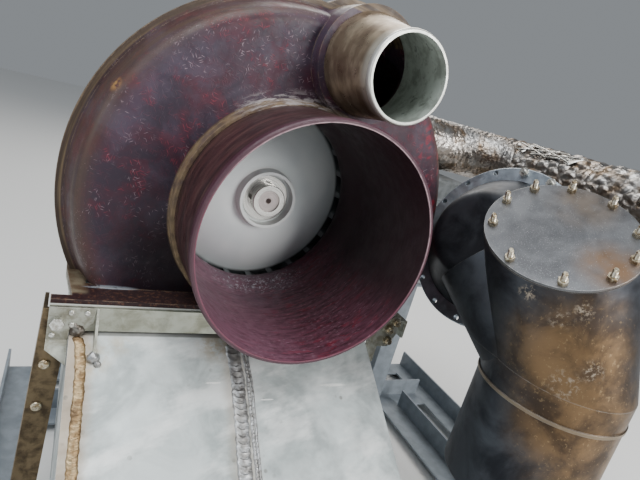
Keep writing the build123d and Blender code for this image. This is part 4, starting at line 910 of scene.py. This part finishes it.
def weldRings(path, width, height, pitch, seed, shiftX):
    # cross-sections of one bead: overlapping crescents on a wandering line
    look = weldLook
    steps = look["steps"]
    wanderPace, alongPush, sidePush = look["wander"]
    swellPace, swell = look["swell"]
    gritPace, grit = look["grit"]
    rings = []
    lengths = [0.0]
    for (xa, da), (xb, db) in zip(path, path[1:]):
        lengths.append(lengths[-1] + math.hypot(xb - xa, (db - da) * math.hypot(1, slopeRise)))
    for i in range(steps + 1):
        along = lengths[-1] * i / steps
        k = max(n for n in range(len(path) - 1) if lengths[n] <= along + 1e-9)
        part = (along - lengths[k]) / (lengths[k + 1] - lengths[k])
        x = path[k][0] + (path[k + 1][0] - path[k][0]) * part + shiftX
        depth = path[k][1] + (path[k + 1][1] - path[k][1]) * part
        wander = noise.noise(Vector((seed, along * wanderPace, 0.0)))
        half = width / 2 * (1 + swell * noise.noise(Vector((seed + 5, along * swellPace, 0.0))))
        fromEnd = min(along, lengths[-1] - along)
        taper = min(1.0, look["taperFrom"] + fromEnd / look["taperLength"])
        ring = []
        for j in range(look["across"] + 1):
            u = -1 + 2 * j / look["across"]
            crescent = (along + half * look["bow"] * u * u + wander * alongPush) / pitch
            step = crescent - math.floor(crescent)
            scale = look["valley"] + (1 - look["valley"]) * (1 - step) ** look["fade"]
            rough = grit * noise.noise(Vector((x + u * half, depth, seed)) * gritPace)
            lift = height * taper * (math.sqrt(max(0.0, 1 - u * u)) * scale + rough * (1 - u * u))
            ring.append(onSlope(x + u * half * taper + wander * sidePush, depth, lift))
        ring.append(onSlope(x + half * taper, depth, look["sink"]))
        ring.append(onSlope(x - half * taper, depth, look["sink"]))
        rings.append(ring)
    return rings


# bright, tinted and dark tone of each weld, and the share of tint
weldTones = {
    "goldWeld": ((0.44, 0.33, 0.19), (0.26, 0.165, 0.08), (0.10, 0.065, 0.04), 0.9),
    "silverWeld": ((0.42, 0.43, 0.44), (0.26, 0.25, 0.235), (0.10, 0.095, 0.095), 0.8),
    "darkWeld": ((0.24, 0.23, 0.21), (0.12, 0.10, 0.08), (0.05, 0.04, 0.035), 1.0),
}


def weldFinish(name):
    bright, tint, dark, tintShare = weldTones[name]
    finish = Finish(name, metallic=0.8)
    finish.colour(finish.mottled(bright, tint, 0.006, (0.36, 0.62), (0.0, tintShare)))
    finish.lay(dark, finish.patches(0.012, (0.56, 0.68), (0.0, 0.7), rough=0.6))
    finish.cloudyGloss(0.004, (0.32, 0.52))
    finish.relief(finish.cloud(0.0015, 3.0), 0.0001, 0.4)
    return finish


def layWeld(name, path, beads, finish):
    form = Form()
    for bead in beads:
        form.loft(weldRings(path, *bead))
    return addPiece(name, form, finish)


silverWeld = weldFinish("silverWeld")
leftPiece = layWeld("left_weld", weldLook["leftPath"], weldLook["leftBeads"], weldFinish("goldWeld"))
middlePiece = layWeld("middle_weld", weldLook["middlePath"], weldLook["middleBeads"], silverWeld)
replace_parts(leftPiece, "weld_beads")
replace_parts(middlePiece, "weld_beads")

# drops of weld metal: place, size, seed and flatness of each
dropLook = {
    "bracket_weld_ends": [((-163.6, 60.0, -109.5), 5.4, 2.0, 0.55), ((-166.5, 60.3, -106.0), 3.2, 7.0, 0.5)],
    "gusset_weld": [((-150.5, 42.5, -123.5), 4.6, 4.0, 0.9), ((-147.0, 39.5, -127.5), 3.0, 9.0, 0.8)],
    "rings": 14,
    "sides": 22,
    "broad": (0.22, 1.7),
    "fine": (0.08, 5.0),
}


def lump(form, place, size, seed, flat):
    look = dropLook
    broad, broadScale = look["broad"]
    fine, fineScale = look["fine"]
    loops = []
    for i in range(look["rings"] + 1):
        turn = math.pi * (0.04 + 0.92 * i / look["rings"])
        loop = []
        radius = math.sin(turn)
        for angle in circle(look["sides"]):
            way = Vector((radius * math.cos(angle), -math.cos(turn) * flat, radius * math.sin(angle)))
            bulge = 1 + broad * noise.noise(way * broadScale + Vector((seed, 0, 0)))
            bulge += fine * noise.noise(way * fineScale + Vector((0, seed, 0)))
            loop.append(fromMouth(*place) + way * bulge * size * mm)
        loops.append(loop)
    form.loft(loops)


for name, finish in (("bracket_weld_ends", weldFinish("darkWeld")), ("gusset_weld", silverWeld)):
    form = Form()
    for drop in dropLook[name]:
        lump(form, *drop)
    addPiece(name, form, finish)
print("welds laid")

# crinkled foil round the bleed pipe, lapped over a slanting seam on the bend
foilLook = {
    "radius": 36.6,
    "inner": 31.6,
    "thinnest": 0.8,
    # crinkles before and past the seam: depth, sharpness, scale, depth and scale of the waves
    "fineDepth": 1.35,
    "fineRidge": 1.6,
    "fineScale": (0.17, 0.17, 0.17),
    "fineWaves": (0.7, 0.06),
    "coarseDepth": 3.4,
    "coarseRidge": 2.2,
    "coarseScale": (0.045, 0.06, 0.085),
    "coarseWaves": (0.8, 0.15),
    "seam": 302,
    "seamSlant": 50,
    "seamDepth": 2.4,
    "seamHalf": 1.5,
    "lapDepth": 1.6,
    "lapLength": 5.0,
    "steps": 400,
    "innerSteps": 40,
    "sides": 128,
    "silver": (0.38, 0.37, 0.36),
    "brown": (0.21, 0.15, 0.10),
    "bright": (0.56, 0.54, 0.52),
    "dark": (0.10, 0.083, 0.07),
    "brownBelow": (115, 75),
}
pipeRun = {"startX": 80.0, "endX": 384.0, "depth": 275.0, "endDepth": -100.0, "height": 92.0, "bend": 95.0}


def pipeStation(along):
    # centre of the pipe, and the level direction to the inside of the bend
    run = pipeRun
    first = run["endX"] - run["bend"] - run["startX"]
    arc = run["bend"] * math.pi / 2
    if along <= first:
        return Vector((run["startX"] + along, run["depth"], run["height"])), Vector((0, -1, 0))
    if along <= first + arc:
        turn = (along - first) / run["bend"]
        inward = Vector((-math.sin(turn), -math.cos(turn), 0))
        middle = Vector((run["endX"] - run["bend"], run["depth"] - run["bend"], run["height"]))
        return middle - inward * run["bend"], inward
    rest = along - first - arc
    return Vector((run["endX"], run["depth"] - run["bend"] - rest, run["height"])), Vector((-1, 0, 0))


def roundPipe(along, angle, radius):
    # millimetres from the mouth of a place on the pipe
    centre, inward = pipeStation(along)
    return centre + (inward * math.cos(angle) + Vector((0, 0, 1)) * math.sin(angle)) * radius


def onPipe(along, angle, radius):
    return fromMouth(*roundPipe(along, angle, radius))


def crinkle(spot, kind, shift, power):
    look = foilLook
    stretched = Vector([side * scale for side, scale in zip(spot, look[kind + "Scale"])])
    apart = noise.voronoi(stretched + Vector(shift))[0]
    ridge = min(1.0, (apart[1] - apart[0]) * look[kind + "Ridge"])
    waveDepth, waveScale = look[kind + "Waves"]
    return look[kind + "Depth"] * (1 - ridge) ** power + waveDepth * (1 + noise.noise(spot * waveScale))


def foilDepth(along, angle):
    # how far the foil is pushed in at a place, in millimetres
    look = foilLook
    spot = roundPipe(along, angle, look["radius"])
    past = along - (look["seam"] + look["seamSlant"] * math.cos(angle))
    if past < 0:
        push = crinkle(spot, "fine", (3, 1, 7), 1) + look["lapDepth"] * math.exp(past / look["lapLength"])
    else:
        push = crinkle(spot, "coarse", (9, 4, 2), 1.5)
    if abs(past) < look["seamHalf"]:
        push += look["seamDepth"] * (1 - abs(past) / look["seamHalf"])
    return max(0.0, min(look["radius"] - look["inner"] - look["thinnest"], push))


def foilRings():
    look = foilLook
    run = pipeRun
    total = run["endX"] - run["bend"] - run["startX"] + run["depth"] - run["bend"] - run["endDepth"]
    total += run["bend"] * math.pi / 2
    angles = circle(look["sides"])
    rings = []
    for i in range(look["steps"] + 1):
        along = total * i / look["steps"]
        rings.append([onPipe(along, angle, look["radius"] - foilDepth(along, angle)) for angle in angles])
    for i in range(look["innerSteps"], -1, -1):
        rings.append([onPipe(total * i / look["innerSteps"], angle, look["inner"]) for angle in angles])
    return rings


def foilFinish():
    look = foilLook
    finish = Finish("foilWrap", metallic=1.0)
    finish.colour(finish.mottled(look["silver"], look["brown"], 0.03, (0.40, 0.62), rough=0.6))
    finish.lay(look["brown"], finish.past("Z", look["brownBelow"]), 0.6)
    plates = finish.cells(0.012, finish.turned(scale=(1, 0.8, 1.3)))
    tone = finish.axis("X", plates.outputs["Color"])
    finish.lay(look["bright"], finish.ramp(tone, 0.55, 0.80, 0.0, 0.3))
    finish.lay(look["dark"], finish.ramp(tone, 0.28, 0.10, 0.0, 0.3))
    finish.cloudyGloss(0.012, (0.26, 0.44))
    creases = finish.cracks(0.0045, (0.0, 0.25), scale=(1.4, 0.7, 1))
    finish.relief(finish.add(creases, finish.cloud(0.003, 3.0, 0.6, warp=1.5)), 0.0004, 0.4)
    return finish


foil = Form()
foil.loft(foilRings(), loop=True)
foilPiece = addPiece("foil_wrap", foil, foilFinish())
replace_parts(foilPiece, "pipe_wrap")

clips = {
    # along the pipe, way round (degrees), length, width, turn (degrees)
    "plates": [
        (352, 62, 26, 7, 20), (362, 48, 18, 6, 75), (371, 70, 22, 8, -15), (384, 52, 24, 6, 35),
        (398, 66, 20, 9, 80), (408, 44, 26, 6, 10), (421, 60, 30, 8, -30), (440, 50, 22, 7, 60),
    ],
    # along the pipe and way round (degrees) of both ends
    "wires": [(346, 40, 424, 66), (358, 74, 436, 40), (340, 66, 400, 38), (376, 36, 446, 62)],
    "radius": 36.2,
    "plateSink": 1.2,
    "plateThickness": 0.7,
    "plateSteps": 8,
    "wire": 1.1,
    "wireSink": 0.3,
    "wireSteps": 24,
    "wireSides": 8,
}


def addPlate(form, along, angle, length, width, turn):
    # small plate bent to the pipe, turned on its surface
    angle = math.radians(angle)
    turn = math.radians(turn)
    lift = clips["radius"] - clips["plateSink"]
    rings = []
    for i in range(clips["plateSteps"] + 1):
        u = (i / clips["plateSteps"] - 0.5) * length
        ring = []
        for v, up in ((-0.5, 0), (0.5, 0), (0.5, 1), (-0.5, 1)):
            s = along + u * math.cos(turn) - v * width * math.sin(turn)
            a = angle + (u * math.sin(turn) + v * width * math.cos(turn)) / foilLook["radius"]
            ring.append(onPipe(s, a, lift + up * clips["plateThickness"]))
        rings.append(ring)
    form.loft(rings)


def addWire(form, startAlong, startAngle, endAlong, endAngle):
    radius = clips["radius"]
    rings = []
    for i in range(clips["wireSteps"] + 1):
        part = i / clips["wireSteps"]
        along = startAlong + (endAlong - startAlong) * part
        angle = math.radians(startAngle + (endAngle - startAngle) * part)
        ring = []
        for turn in circle(clips["wireSides"]):
            lift = radius - clips["wireSink"] + clips["wire"] * math.sin(turn)
            ring.append(onPipe(along, angle + clips["wire"] * math.cos(turn) / radius, lift))
        rings.append(ring)
    form.loft(rings)


clipForm = Form()
for plate in clips["plates"]:
    addPlate(clipForm, *plate)
for wire in clips["wires"]:
    addWire(clipForm, *wire)
addPiece("wrap_clips", clipForm, metals["clampSteel"])
print("foil wrapped")

# threaded studs of the oval cover
studLook = {
    "centre": (195.0, -47.0, 58.0),
    "normal": (-0.505, -0.303, 0.808),
    "angles": (165, 134, 101, 64, 26, -5, -34, -72, -117, -161),
    "circle": 57.5,
    "radius": 2.4,
    "height": 12.0,
    "pitch": 0.8,
    "depth": 0.38,
    "chamfer": 0.7,
    "chamferHeight": 1.0,
    "sides": 16,
}


def addStuds():
    look = studLook
    up = Vector(look["normal"]).normalized()
    outline = []
    count = int((look["height"] - look["chamferHeight"]) / look["pitch"])
    for i in range(count):
        height = i * look["pitch"]
        outline.append((look["radius"], height))
        outline.append((look["radius"] - look["depth"], height + look["pitch"] / 2))
    outline.append((look["radius"], count * look["pitch"]))
    outline.append((look["radius"] - look["chamfer"], look["height"]))

    def outward(side, angle):
        return side * math.cos(angle) + up.cross(side) * math.sin(angle)

    level = Vector((0, 0, 1)).cross(up).normalized()
    square = up.orthogonal().normalized()
    sides = [outward(square, turn) * mm for turn in circle(look["sides"])]
    form = Form()
    for angle in look["angles"]:
        foot = fromMouth(*look["centre"]) + outward(level, math.radians(angle)) * look["circle"] * mm
        form.loft([[foot + up * height * mm + side * radius for side in sides] for radius, height in outline])
    return addPiece("cover_threads", form, metals["fastenerPlate"], smooth=False)


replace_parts(addStuds(), "cover_studs")
print("studs threaded")
